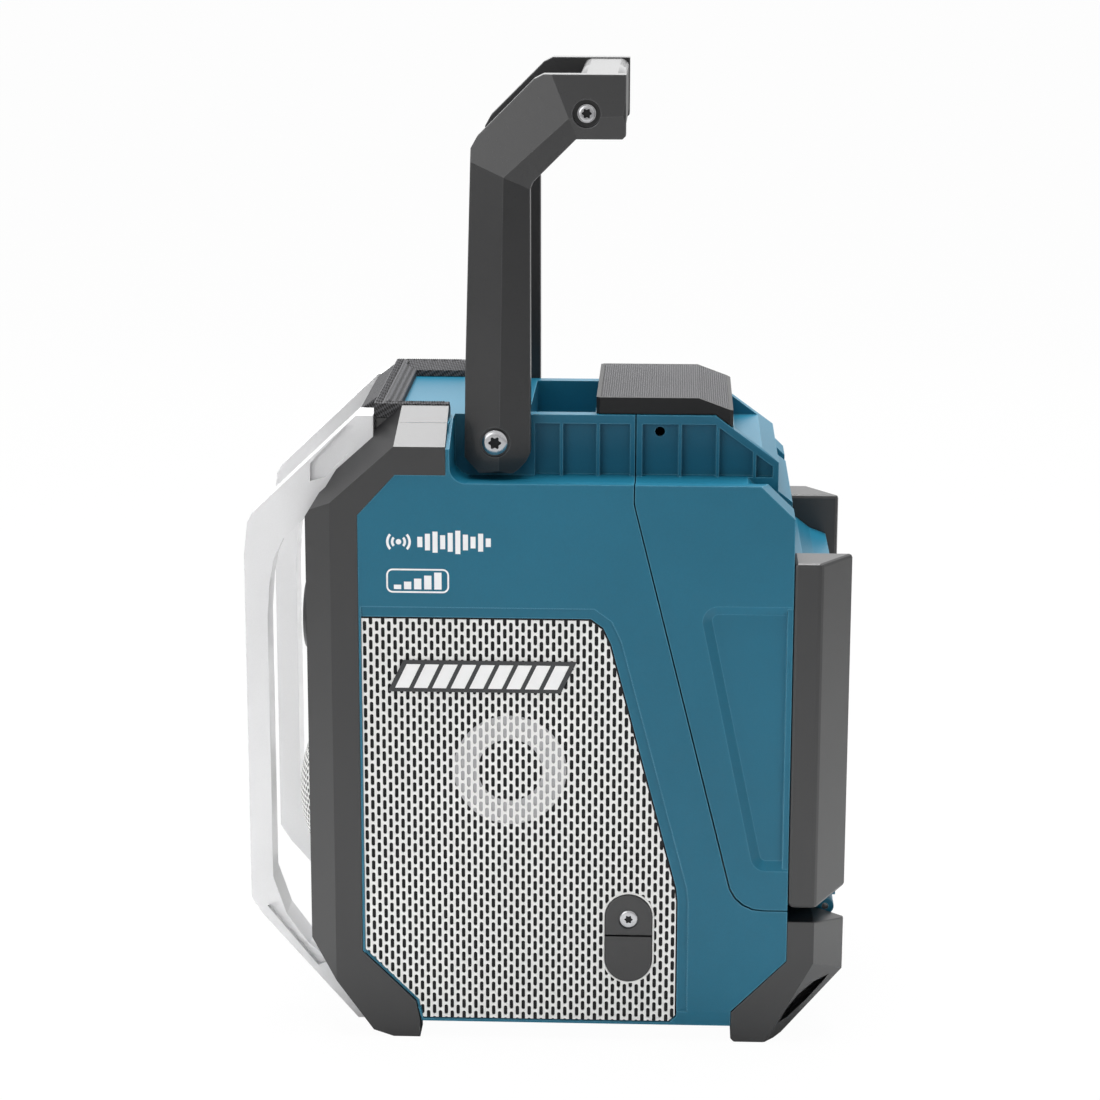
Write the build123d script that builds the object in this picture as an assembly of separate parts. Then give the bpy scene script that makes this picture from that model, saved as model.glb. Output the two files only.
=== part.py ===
from build123d import *
from math import cos, radians, sin, sqrt
import os

# Rugged jobsite radio: blue casing, rubber corner bumpers, front roll guards, side
# loudspeakers, folding carry handle and a hinged battery door with a latch on top.
# Millimetres. +Z up, front of the radio faces -Y, origin under the middle of the footprint.

os.makedirs("parts", exist_ok=True)

# ---- clearances ----
gap = 0.3            # between pieces of different bodies
seat = 0.1           # between pieces screwed or moulded together
run_fit = 0.05       # radial, pins in bores
swing = 1.2          # parts that sweep past each other

# ---- casing ----
body_width = 160.0
side_x = body_width / 2
skin_x = side_x - 0.4  # blue sides, a little inside the rubber
wall = 2.6
grille_recess = 2.0  # depth of the grille's seat in the side wall
side_wall = wall + grille_recess
floor_z = 7.2        # underside of the casing above the ground
ledge_z = 255.5      # outer edge of the shelves beside the handle
panel_front_y = -81.5
rim_front_y = -76.0
tray_z = 279.4        # floor of the tray behind the rim, top of the central block
rim_z = tray_z + 6.6  # top of the front rim
front_y = -103.0     # plane of the front panel
pocket_y = -43.0     # wall in front of the handle arms
shoulder_y = 108.0   # rear of the two shoulders
shoulder_drop = 15.0
foot_height = 61.0   # top of the casing under the door
foot_front_y = 83.5
trough_x = side_x - 22.0  # half width of the trough that takes the folded handle
shelf_drop = 3.5     # shelves fall this much towards the handle
block_x = side_x - 35.5   # half width of the central block
block_z = tray_z
rib_depth = 4.0      # depth of the windows between the ribs
rail = rib_depth + 2.2  # rails along both sides of the block
rim_band = 10.0       # width of the knurled rim
rim_x = side_x - 24.0  # half width of the rim

# ---- battery door ----
split_top_y = 38.5   # parting line, top
split_knee_z = 247.0
split_low_y = 82.0
split_low_z = 75.0
door_floor_z = 62.5
door_rear_y = 130.3
door_hump_z = 203.0  # top of the rear hump under the folded grip
hinge_y = 126.0
hinge_z = 56.0
hinge_pin_r = 1.5
knuckle_r = 4.0
knuckle_length = 14.0
knuckle_x = trough_x - 25.0

# ---- bumpers and guards ----
bumper_front_y = -105.5
bumper_rear_y = 134.0
bumper_chamfer = 10.0
guard_front_y = -134.0
guard_inner_x = side_x - 38.0
guard_outer_x = side_x - 20.0

# ---- handle ----
pivot_y = -23.0
pivot_z = 269.0
arm_inner_x = block_x + 1.2
arm_thickness = 11.0
arm_outer_x = arm_inner_x + arm_thickness
handle_top_z = 428.5
grip_front_y = 12.0
grip_rear_y = 33.3
grip_low_z = handle_top_z - 27.5
pivot_pin_r = 4.0
pivot_head_r = 5.5
grip_tube_r = 3.2
grip_screw_y = 16.5
grip_screw_z = handle_top_z - 16.5

# ---- loudspeakers ----
speaker_y = -15.0
speaker_z = 124.0
speaker_r = 38.0
speaker_depth = 30.0
woofer_z = 93.0
woofer_r = 52.0
woofer_depth = 44.0
woofer_dome = 15.0
sheet = 1.0          # steel of the side grilles

# ---- latch ----
latch_x = block_x - 1.5
latch_front_y = 21.0
latch_rear_y = 81.3
latch_top_z = block_z + 7.6
pad_thickness = 1.6
pad_margin = 2.0     # frame around the grip pad


# ---------------------------------------------------------------- helpers
def prism(points, x_from, x_to):
    """Outline of (y, z) points, drawn out from x_from to x_to."""
    outline = Plane.YZ.offset(x_from) * make_face(Polyline(*points, close=True))
    return extrude(outline, x_to - x_from)


def round_prism(points, radius, x_from, x_to):
    """The same with every corner rounded by one radius."""
    outline = Plane.YZ.offset(x_from) * make_face(FilletPolyline(*points, radius=radius, close=True))
    return extrude(outline, x_to - x_from)


def side_prism(points, x_from, x_to, sign):
    """A prism on the left (sign -1) or right (sign +1) side."""
    return prism(points, min(sign * x_from, sign * x_to), max(sign * x_from, sign * x_to))


def block(x_from, x_to, y_from, y_to, z_from, z_to):
    size = (x_to - x_from, y_to - y_from, z_to - z_from)
    return Pos((x_from + x_to) / 2, (y_from + y_to) / 2, (z_from + z_to) / 2) * Box(*size)


def rod_x(radius, x_from, x_to, y, z):
    return Pos((x_from + x_to) / 2, y, z) * Rot(0, 90, 0) * Cylinder(radius, abs(x_to - x_from))


def rod_y(radius, y_from, y_to, x, z):
    return Pos(x, (y_from + y_to) / 2, z) * Rot(90, 0, 0) * Cylinder(radius, abs(y_to - y_from))


def rod_z(radius, z_from, z_to, x, y):
    return Pos(x, y, (z_from + z_to) / 2) * Cylinder(radius, abs(z_to - z_from))


def both_sides(shape):
    return Compound(children=[shape, mirror(shape, Plane.YZ)])


def shrunk(points, amount, x_from, x_to):
    """Prism of the outline moved inwards by an amount."""
    face = make_face(Polyline(*points, close=True))
    inner = offset(face, -amount, kind=Kind.INTERSECTION)
    return extrude(Plane.YZ.offset(x_from) * inner, x_to - x_from)


# rounded foot of the parting line, measured from its low point
split_curve = ((-1.0, 2.5), (0.2, -2.4), (2.7, -6.8), (6.2, -10.0), (10.6, -12.0))


def split_line(shift):
    """Region behind the parting line, moved back by shift."""
    knee = (split_top_y + shift, split_knee_z)
    curve = [(split_low_y + y + shift, split_low_z + z + shift) for y, z in split_curve]
    end = (split_low_y + 15.5 + shift, door_floor_z + shift)
    far = door_rear_y + 60
    return [(knee[0], rim_z + 40), knee, *curve, end, (far, door_floor_z + shift), (far, rim_z + 40)]


nodes = {}


def keep(name, shape):
    nodes[name] = shape


# ---------------------------------------------------------------- casing
shoulder_low_z = ledge_z - shoulder_drop + 0.5
case_outline = [
    (panel_front_y, 40.5), (panel_front_y, 241.0), (-65.0, 259.0), (pocket_y, 259.0), (pocket_y, ledge_z),
    (shoulder_y - shoulder_drop, ledge_z), (shoulder_y, shoulder_low_z), (shoulder_y, 39.0),
    (foot_front_y, 39.0 - (shoulder_y - foot_front_y)), (foot_front_y, floor_z), (-55.2, floor_z),
    (-57.7, 17.3),
]
nose_outline = [
    (front_y + wall, 33.5), (front_y + wall, 234.0), (rim_front_y + 1, 259.0), (rim_front_y + 1, tray_z),
    (pocket_y + 0.5, tray_z), (pocket_y + 0.5, floor_z + 1), (-56.0, floor_z + 1), (-77.0, floor_z + 2.2),
]
nose_x = side_x - 14.0
corner_normal = (0.35, -0.627, 0.697)  # slope that trims each front top corner
corner_skin = 2.4    # rubber over that slope
cheek = 2.0          # rubber beside the end of the rim


def corner_slope(sign, drop, x_from):
    """What lies ahead of the corner slope, lowered by drop, outwards of x_from."""
    normal = Vector(sign * corner_normal[0], corner_normal[1], corner_normal[2])
    plane = Plane(Vector(sign * side_x, -91.9, rim_z - 38.3) - normal * drop, z_dir=normal)
    ahead = plane * Box(120, 120, 60, align=(Align.CENTER, Align.CENTER, Align.MIN))
    return ahead & side_prism([(-120, 220), (-120, rim_z + 20), (-48, rim_z + 20), (-48, 220)], x_from,
                              side_x + 5, sign)


block_rear_y = 101.6
block_bend_y = 73.5
recess_front_y = -8.6    # finger recess ahead of the latch
recess_rear_y = latch_front_y - 0.4
recess_floor_z = block_z - 15.0
rear_floor_y = 82.0      # lower floor behind the latch
rear_floor_z = block_z - 15.2
block_outline = [
    (pocket_y - 1, ledge_z - 12), (pocket_y - 1, block_z), (block_bend_y, block_z),
    (block_rear_y, block_z - 20.6), (block_rear_y, 246.0), (shoulder_y, 241.0), (shoulder_y, ledge_z - 30),
    (88.5, ledge_z - 30), (88.5, ledge_z - 12),
]
trough_z = ledge_z - shelf_drop
grip_reach = grip_rear_y - pivot_y
cradle_wall_y = shoulder_y
cradle_floor_z = pivot_z - grip_reach - swing - 0.5
trough_cut = [
    (pocket_y, trough_z), (88.0, trough_z), (cradle_wall_y - 0.5, 232.0),
    (cradle_wall_y - 0.5, cradle_floor_z),
    (door_rear_y + 20, cradle_floor_z), (door_rear_y + 20, rim_z + 30), (pocket_y, rim_z + 30),
]
hump_outline = [
    (shoulder_y - 6, door_floor_z), (door_rear_y, door_floor_z), (door_rear_y, 193.0),
    (door_rear_y - 2.2, door_hump_z),
    (door_rear_y - 10, cradle_floor_z - 5), (door_rear_y - 16.3, cradle_floor_z),
    (shoulder_y - 6, cradle_floor_z),
]
hump_x = trough_x - 0.3


def envelope():
    """Outer form of the casing and the door together."""
    form = prism(case_outline, -skin_x, skin_x)
    form -= prism(trough_cut, -trough_x, trough_x)
    for sign in (-1, 1):
        slope = [
            (sign * trough_x, trough_z), (sign * side_x, ledge_z), (sign * (side_x + 5), ledge_z),
            (sign * (side_x + 5), rim_z), (sign * trough_x, rim_z),
        ]
        face = Plane.XZ.offset(-pocket_y) * make_face(Polyline(*slope, close=True))
        form -= extrude(face, -(shoulder_y - pocket_y))
    form += prism(block_outline, -block_x, block_x)
    form -= block(-block_x + rail, block_x - rail, recess_front_y, recess_rear_y, recess_floor_z, block_z + 1)
    form -= block(-block_x + rail, block_x - rail, rear_floor_y, block_rear_y + 1, rear_floor_z, block_z + 1)
    form += prism(hump_outline, -hump_x, hump_x)
    return form


def inner_space():
    """Hollow of the casing and the door."""
    side_outline = [
        (panel_front_y + wall, 42.0), (panel_front_y + wall, 238.0), (-64.0, trough_z - 8),
        (88.0 - 9, trough_z - wall - 2), (88.0, trough_z - 14), (shoulder_y - wall - 3, 225.0),
        (shoulder_y - wall - 3, 43.0), (foot_front_y - wall, 18.0), (foot_front_y - wall, floor_z + wall),
        (-52.0, floor_z + wall), (-54.0, 20.0),
    ]
    space = prism(side_outline, -side_x + side_wall, side_x - side_wall)
    top_space = [
        (pocket_y + wall, 235.0), (pocket_y + wall, block_z - wall), (recess_front_y - wall, block_z - wall),
        (recess_front_y - wall, recess_floor_z - wall), (recess_rear_y + wall, recess_floor_z - wall),
        (recess_rear_y + wall, block_z - wall - 1), (block_bend_y - 4, block_z - wall - 1),
        (rear_floor_y - 2 * wall - 1, rear_floor_z + 4), (rear_floor_y - wall, rear_floor_z - wall),
        (block_rear_y - wall - 2, rear_floor_z - wall), (block_rear_y - wall, 256.0),
        (block_rear_y - wall, 235.0),
    ]
    tray_space = [
        (-68.0, 236.0), (-68.0, tray_z - wall), (pocket_y - wall, tray_z - wall), (pocket_y - wall, 236.0),
    ]
    space += prism(tray_space, -nose_x + wall, nose_x - wall)
    space += prism(top_space, -block_x + rib_depth + wall, block_x - rib_depth - wall)
    hump_space = [
        (shoulder_y - 10, door_floor_z - 20), (door_rear_y - wall, door_floor_z - 20),
        (door_rear_y - wall, 192.0),
        (door_rear_y - wall - 2, 200.0), (door_rear_y - wall - 10, cradle_floor_z - wall - 5),
        (shoulder_y - 10, cradle_floor_z - wall - 5),
    ]
    space += prism(hump_space, -hump_x + wall, hump_x - wall)
    return space


grille_outline = [
    (-80.5, 40.9), (-80.5, 195.5), (20.0, 195.5), (25.5, 191.5), (29.0, 184.0), (58.6, 72.0), (59.3, 66.0),
    (59.3, 11.5), (56.0, floor_z + 1.2), (-54.6, floor_z + 1.2), (-56.6, 17.6),
]
grille_lip = 4.6         # width of the shallow step around the grille
grille_lip_depth = 0.9
side_opening = [
    (-72.0, 52.0), (-72.0, 188.0), (10.0, 188.0), (19.0, 181.0), (35.0, 116.0), (21.5, 76.0),
    (21.5, 22.0), (-48.0, 22.0),
]
board_y = -96.9
amplifier_z = 13.0
floor_screw_r = 1.7
floor_screw_x = side_x - 20.0
jack_y = 37.5
jack_z = 48.5
jack_height = 41.0
jack_r = 10.5
jack_bore = 7.5
jack_screw_r = 1.9


def jack_shape(grow, x_from, x_to):
    half = jack_height / 2 - jack_r
    shape = block(x_from, x_to, jack_y - jack_r - grow, jack_y + jack_r + grow, jack_z - half, jack_z + half)
    shape += rod_x(jack_r + grow, x_from, x_to, jack_y, jack_z - half)
    shape += rod_x(jack_r + grow, x_from, x_to, jack_y, jack_z + half)
    return shape


lip_low_z = block_z - 4.0
housing_windows = ((-6.0, 5.0), (6.4, 21.2), (22.6, 36.0))
door_windows = ((41.4, 57.3), (58.7, 73.9), (75.3, 90.2), (91.6, 99.0))
window_limit = [(-8.0, trough_z), (-8.0, lip_low_z), (block_bend_y, lip_low_z), (99.4, block_z - 22.8),
                (99.4, trough_z)]


def side_windows(windows, sign):
    """Hollows between the ribs, in the side of the block."""
    cut = None
    for y_from, y_to in windows:
        hollow = side_prism([(y_from, trough_z), (y_from, block_z), (y_to, block_z), (y_to, trough_z)],
                            block_x - rib_depth, block_x + 1, sign)
        cut = hollow if cut is None else cut + hollow
    return cut & side_prism(window_limit, block_x - rib_depth, block_x + 1, sign)


pocket_wall_y = pocket_y + 1.7
pocket_wall_r = 7.0


def pocket_wall():
    """Thin wall ahead of each handle arm, rounded into the sloping shelf at its foot."""
    corner_y = pocket_wall_y + pocket_wall_r
    wall_form = prism([(pocket_y, trough_z - 1), (pocket_y, tray_z), (pocket_wall_y, tray_z),
                      (pocket_wall_y, trough_z - 1)],
                      -skin_x, skin_x)
    foot = Plane.YZ * make_face(Polyline(
        (pocket_wall_y - 1, -1.5), (pocket_wall_y - 1, pocket_wall_r), (corner_y, pocket_wall_r),
        (corner_y, -1.5), close=True))
    foot -= Plane.YZ * Pos(corner_y, pocket_wall_r) * Circle(pocket_wall_r)
    for sign in (-1, 1):
        run = Vector(sign * (side_x - trough_x), 0, ledge_z - trough_z)
        wall_form += extrude(Pos(sign * trough_x, 0, trough_z) * foot, run.length, dir=run.normalized())
        wall_form += extrude(Pos(sign * trough_x, 0, trough_z) * foot, trough_x - block_x + 1,
                             dir=(-sign, 0, 0))
    front = Plane.XZ.offset(-pocket_y + 1) * make_face(Polyline(
        (-skin_x, trough_z - 2), (-skin_x, rim_z - 15.5), (-rim_x, tray_z), (rim_x, tray_z),
        (skin_x, rim_z - 15.5), (skin_x, trough_z - 2), close=True))
    return wall_form & extrude(front, -pocket_wall_r - 5)


def make_housing():
    form = envelope()
    form -= prism(split_line(-gap), -side_x - 1, side_x + 1)
    form -= inner_space()
    # nose that carries the front panel and the rubber frame
    nose = prism(nose_outline, -nose_x, nose_x)
    nose -= prism([(front_y + 2 * wall, 37), (front_y + 2 * wall, 232), (-78, 255), (-72, 259),
                  (-72, 268), (pocket_y + 4, 268),
                   (pocket_y + 4, floor_z + 4), (-74, floor_z + 5)], -nose_x + wall, nose_x - wall)
    form += nose
    form -= block(-nose_x - 1, nose_x + 1, -62.0, pocket_y + 8, 34, 234)
    form -= block(-nose_x + wall, nose_x - wall, front_y + 2 * wall, -60.0, 37, 232)
    # front opening behind the panel: woofer and controls
    form -= rod_y(woofer_r - 6, front_y - 5, front_y + 12, 0, woofer_z)
    form -= block(-38, 38, front_y - 5, front_y + 12, 160, 228)
    # side recesses for the grilles, the loudspeaker openings and the door recess
    for sign in (-1, 1):
        form -= side_prism(grille_outline, side_x - grille_recess, side_x + 1, sign)
        step = shrunk(grille_outline, -grille_lip, skin_x - grille_lip_depth, side_x + 1)
        if sign < 0:
            step = mirror(step, Plane.YZ)
        form -= step & block(-side_x - 1, side_x + 1, panel_front_y + 1, shoulder_y, 14.0, rim_z)
        form -= side_prism(side_opening, side_x - side_wall - 1, side_x, sign)
        skirt = Polyline((sign * (skin_x + 1), 13.9), (sign * skin_x, 13.9),
                         (sign * (skin_x - 1.0), floor_z - 1),
                         (sign * (skin_x + 1), floor_z - 1), close=True)
        form -= extrude(Plane.XZ.offset(60) * make_face(skirt), -150)
    form += jack_shape(1.0, side_x - side_wall - 12, side_x - side_wall + 0.5)
    form -= rod_x(jack_bore, side_x - side_wall - 13, side_x, jack_y, jack_z - 10)
    form -= rod_x(jack_screw_r, side_x - side_wall - 8, side_x, jack_y, jack_z + 9)
    # shelf under the door, with the hinge knuckles
    form += block(-side_x + side_wall - 1, side_x - side_wall + 1, split_low_y - 30, shoulder_y - 0.1,
                  foot_height - wall, foot_height)
    form -= block(-trough_x, trough_x, shoulder_y - 4, shoulder_y + 1, 35, foot_height + 3)
    form += block(-trough_x - 1, trough_x + 1, shoulder_y - 6, shoulder_y - 4, 38, foot_height - 3)
    for sign in (-1, 1):
        ear_from = knuckle_x + knuckle_length / 2 + gap
        ear = rod_x(knuckle_r, sign * ear_from, sign * (ear_from + knuckle_length), hinge_y, hinge_z)
        arm = [(hinge_y - knuckle_r, hinge_z - knuckle_r + 1), (shoulder_y - 6, 42), (shoulder_y - 6, 58),
               (hinge_y - 2, hinge_z + knuckle_r - 0.6), (hinge_y, hinge_z)]
        ear += side_prism(arm, ear_from, ear_from + knuckle_length, sign)
        form += ear
        form -= rod_x(hinge_pin_r + run_fit, sign * 10, sign * 70, hinge_y, hinge_z)
    for sign in (-1, 1):
        form -= corner_slope(sign, corner_skin, rim_x - cheek)
    # pivot bosses of the handle in the block walls
    form -= rod_x(pivot_pin_r + run_fit, -block_x - 1, block_x + 1, pivot_y, pivot_z)
    # wall in front of the handle pocket, rounded into the shelf
    form += pocket_wall()
    # ribbed windows in the walls beside the handle
    for sign in (-1, 1):
        form -= side_windows(housing_windows, sign)
    # boss pads of the boards, screw holes in the floor, opening behind the display
    for sign in (-1, 1):
        for z in (152.0, 222.0):
            form += rod_y(3.0, front_y + 2 * wall - 0.5, board_y - seat, sign * 42.0, z)
        for y in (-36.0, 44.0):
            form += rod_z(4.0, floor_z + 1, amplifier_z - seat, sign * 44.0, y)
            form -= rod_z(floor_screw_r, floor_z - 1, floor_z + 8, sign * floor_screw_x, y)
            form -= rod_z(3.6, floor_z - 1, floor_z + 1.6, sign * floor_screw_x, y)
    form -= slope_plane * Box(window_width - 6, window_length - 5, 24)
    return form



# ---------------------------------------------------------------- battery door
door_recess = [
    (108.5, 202.0), (67.0, 202.0), (92.5, 81.0), (108.5, 81.0),
]
recess_depth = 2.6
recess_corner = 7.0
recess_taper = 58.0      # the edge of the recess slopes in


def door_recess_tool(sign):
    outline = [(y if y < shoulder_y else shoulder_y + 8.0, z) for y, z in door_recess]
    start = Plane.YZ.offset(-skin_x) * make_face(FilletPolyline(*outline, radius=recess_corner, close=True))
    tool = extrude(start, recess_depth, taper=recess_taper)
    return mirror(tool, Plane.YZ) if sign > 0 else tool


def make_door():
    form = envelope()
    form = form & prism(split_line(gap), -side_x - 1, side_x + 1)
    form -= inner_space()
    for sign in (-1, 1):
        form -= door_recess_tool(sign)
        # backing of the recess, so that the wall keeps its thickness
        inside = [-skin_x + recess_depth, -side_x + side_wall + 1]
        backing = shrunk(door_recess, -3.0, inside[0], inside[1])
        if sign > 0:
            backing = mirror(backing, Plane.YZ)
        form += backing & prism([(0, 60), (0, 230), (shoulder_y, 230), (shoulder_y, 60)], -side_x, side_x)
        # walls at the rear of the shoulders and the sides of the hump
        form += side_prism([(shoulder_y - wall, 64), (shoulder_y - wall, 226), (shoulder_y, 226),
                           (shoulder_y, 64)],
                           hump_x - wall, side_x - 1, sign) & prism(split_line(gap), -side_x, side_x)
        # windows between the ribs beside the handle
        form -= side_windows(door_windows, sign)
        form -= rod_x(2.2, sign * (block_x - rib_depth - wall - 1), sign * block_x, 49.1, block_z - 8.0)
        # knuckle and its web
        x_from = knuckle_x - knuckle_length / 2
        knuckle = rod_x(knuckle_r, sign * x_from, sign * (x_from + knuckle_length), hinge_y, hinge_z)
        web = [(hinge_y - 1, hinge_z), (hinge_y - 3.5, door_floor_z + 2),
               (door_rear_y - 0.5, door_floor_z + 2),
               (hinge_y + knuckle_r, hinge_z)]
        knuckle += side_prism(web, x_from, x_from + knuckle_length, sign)
        form += knuckle - rod_x(hinge_pin_r + run_fit, sign * 10, sign * 70, hinge_y, hinge_z)
    return form


def make_pad(z_from, z_to, inset):
    chamfer = 1.5
    x = latch_x - inset
    y_from = latch_front_y + inset
    y_to = latch_rear_y - inset
    outline = [
        (-x + chamfer, y_from), (x - chamfer, y_from), (x, y_from + chamfer), (x, y_to - chamfer),
        (x - chamfer, y_to), (-x + chamfer, y_to), (-x, y_to - chamfer), (-x, y_from + chamfer),
    ]
    face = Plane.XY.offset(z_from) * make_face(Polyline(*outline, close=True))
    return extrude(face, z_to - z_from)


latch_pin_y = 79.5
latch_pin_z = block_z - 2.9
latch_pin_r = 1.2
latch_bearing_r = 2.0
latch_bearing_x = 30.0
latch_swing_r = 3.7   # room for the rear edge of the latch as it lifts
latch_slope_y = 66.0
latch_slope_drop = 6.0


def latch_top_cut():
    """The rear end of the latch falls away with the slope of the casing."""
    return prism([(latch_slope_y, latch_top_z), (latch_rear_y + 1, latch_top_z - latch_slope_drop),
                  (latch_rear_y + 1, rim_z + 20), (latch_slope_y, rim_z + 20)], -latch_x - 1, latch_x + 1)


def pad_form(grow, thickness, above):
    """Grip pad let into the top of the latch, first flat, then down its slope."""
    rear_z = latch_top_z - latch_slope_drop
    profile = [
        (latch_front_y, latch_top_z + above), (latch_slope_y, latch_top_z + above),
        (latch_rear_y + 1, rear_z + above),
        (latch_rear_y + 1, rear_z - thickness), (latch_slope_y, latch_top_z - thickness),
        (latch_front_y, latch_top_z - thickness),
    ]
    return make_pad(block_z - 3, latch_top_z + 3, pad_margin - grow) & prism(profile, -latch_x, latch_x)


def make_latch():
    form = make_pad(block_z - 8, latch_top_z, 0.0)
    form -= latch_top_cut()
    # the underside lies on the block and on its slope
    form -= prism([(latch_front_y - 1, block_z + gap), (block_bend_y, block_z + gap),
                  (latch_rear_y + 1, block_z - 6.4 + gap),
                   (latch_rear_y + 1, block_z - 9), (latch_front_y - 1,
                   block_z - 9)], -latch_x - 1, latch_x + 1)
    form -= pad_form(seat, pad_thickness + seat / 2, 2.0)
    # finger edge under the front, pocket for the bearing of the door
    form -= block(-24, 24, latch_front_y - 1, latch_front_y + 4, block_z, block_z + 3.2)
    reach = latch_bearing_r + gap
    form -= block(-latch_bearing_x - gap, latch_bearing_x + gap, latch_pin_y - reach, latch_rear_y + 1,
                  block_z - 9, latch_pin_z + reach)
    form -= rod_x(latch_pin_r + run_fit, -39, 39, latch_pin_y, latch_pin_z)
    return form


door_solid = make_door() - rod_x(latch_swing_r, -latch_x - gap, latch_x + gap, latch_pin_y, latch_pin_z)
bearing = rod_x(latch_bearing_r, -latch_bearing_x, latch_bearing_x, latch_pin_y, latch_pin_z)
bearing += block(-latch_bearing_x, latch_bearing_x, latch_pin_y - 1.3, latch_pin_y + 1.3,
                 latch_pin_z - 5, latch_pin_z)
bearing -= rod_x(latch_pin_r + run_fit, -31, 31, latch_pin_y, latch_pin_z)
keep("battery_door", door_solid + bearing)
keep("door_latch", make_latch())
keep("latch_pad", pad_form(0, pad_thickness, 0))
keep("latch_pin", rod_x(latch_pin_r, -38.5, 38.5, latch_pin_y, latch_pin_z))
pin_end = knuckle_x + knuckle_length * 1.5 + gap
keep("door_hinge_pins", both_sides(rod_x(hinge_pin_r, knuckle_x - knuckle_length / 2, pin_end, hinge_y,
     hinge_z)))


# ---------------------------------------------------------------- rubber bumpers
def make_front_bumper(sign):
    """Column, upper horn and foot of one front corner, around the nose of the casing."""
    inner_edge = nose_x + seat
    outline = [
        (bumper_front_y, 43.0), (bumper_front_y, 238.0), (-76.0, rim_z), (pocket_y - seat, rim_z),
        (pocket_y - seat, 259.0 + seat), (-65.0 - seat, 259.0 + seat), (panel_front_y - seat, 241.0),
        (panel_front_y - seat, 40.5), (-57.7 - seat, 17.0), (-56.0, 8.0), (-56.0, 0.0), (-68.0, 0.0),
        (-77.0, 3.0),
    ]
    form = side_prism(outline, inner_edge, side_x, sign)
    face_plate = [
        (bumper_front_y, 43.0), (bumper_front_y, 236.0), (-74.0, 287.0), (-70, 240),
        (front_y + wall - seat, 228), (front_y + wall - seat, 44),
        (-79.0, 8.0 - seat), (-56.0, 8.0), (-56.0, 0.0), (-68.0, 0.0), (-77.0, 3.0),
    ]
    lip = side_prism(face_plate, guard_outer_x + gap, inner_edge, sign)
    form += lip - prism(nose_outline, -nose_x - seat, nose_x + seat) & side_prism(
        [(bumper_front_y, 0), (bumper_front_y, 238.0), (-76.0, rim_z - 0.2), (-76, 0)],
        guard_outer_x + gap, inner_edge, sign)
    form += side_prism([(rim_front_y, tray_z + seat), (rim_front_y, rim_z), (pocket_y - seat, rim_z),
                        (pocket_y - seat, tray_z + seat)], rim_x + seat, inner_edge, sign)
    # vertical chamfer of the corner, upper facet above the side face
    corner = [
        (sign * (side_x - bumper_chamfer), bumper_front_y), (sign * side_x, bumper_front_y + 12.0),
        (sign * (side_x + 2), bumper_front_y + 12.0), (sign * (side_x + 2), bumper_front_y - 1),
        (sign * (side_x - bumper_chamfer), bumper_front_y - 1),
    ]
    form -= extrude(make_face(Polyline(*corner, close=True)), rim_z + 10)
    facet = [
        (sign * (side_x + 1), rim_z - 15.0), (sign * side_x, rim_z - 14.5),
        (sign * (rim_x - 0.5), rim_z - 0.5), (sign * (rim_x - 0.5), rim_z + 5),
        (sign * (side_x + 1), rim_z + 5),
    ]
    form -= extrude(Plane.XZ.offset(120) * make_face(Polyline(*facet, close=True)), -80)
    # rubber over the corner slope of the casing, then the slope itself
    beside = side_prism([(rim_front_y + 1, 255.0), (rim_front_y + 1, tray_z), (-50, tray_z), (-50, 255.0)],
                        rim_x - cheek + seat, rim_x + seat, sign)
    behind = side_prism([(rim_front_y, 255.0), (rim_front_y, tray_z + seat), (-50, tray_z + seat),
                        (-50, 255.0)],
                        rim_x + seat, inner_edge, sign)
    form += (beside + behind) & corner_slope(sign, corner_skin - seat, rim_x - cheek)
    return form - corner_slope(sign, 0, rim_x + seat / 2)


for side, sign in (("left", -1), ("right", 1)):
    keep(side + "_front_bumper", make_front_bumper(sign))


def make_top_rim():
    """Knurled band along the front top edge, with a short band down each side of the tray."""
    wall_front = [(rim_front_y, tray_z - 15.4), (rim_front_y, rim_z), (rim_front_y + rim_band, rim_z),
                  (rim_front_y + rim_band, tray_z + seat),
                  (rim_front_y + 1 - seat, tray_z + seat), (rim_front_y + 1 - seat, tray_z - 15.4)]
    form = prism(wall_front, -guard_outer_x, guard_outer_x)
    lip = [(rim_front_y, rim_z), (rim_front_y - 7.6, rim_z - 5.6), (rim_front_y - 7.6, rim_z - 8.0),
           (rim_front_y, rim_z - 19)]
    form += prism(lip, -guard_inner_x + 1.0, guard_inner_x - 1.0)
    bevel = [(rim_front_y + rim_band + 1, rim_z - 4.2), (rim_front_y + rim_band - 5.2, rim_z),
             (rim_front_y + rim_band - 5.2, rim_z + 1),
             (rim_front_y + rim_band + 1, rim_z + 1)]
    form -= prism(bevel, -rim_x + rim_band, rim_x - rim_band)
    for sign in (-1, 1):
        form += side_prism([(-66.5, tray_z + seat), (-66.5, rim_z), (pocket_y - seat, rim_z),
                            (pocket_y - seat, tray_z + seat)], rim_x - rim_band, rim_x, sign)
        inner = [(sign * (rim_x - rim_band - 1), rim_z - 4.2), (sign * (rim_x - rim_band + 5.2), rim_z),
                 (sign * (rim_x - rim_band + 5.2), rim_z + 1), (sign * (rim_x - rim_band - 1), rim_z + 1)]
        form -= extrude(Plane.XZ.offset(70) * make_face(Polyline(*inner, close=True)), -30)
        form -= side_prism([(-90, 255), (-90, 300), (-30, 300), (-30, 255)], rim_x, side_x, sign)
    return form


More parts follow.
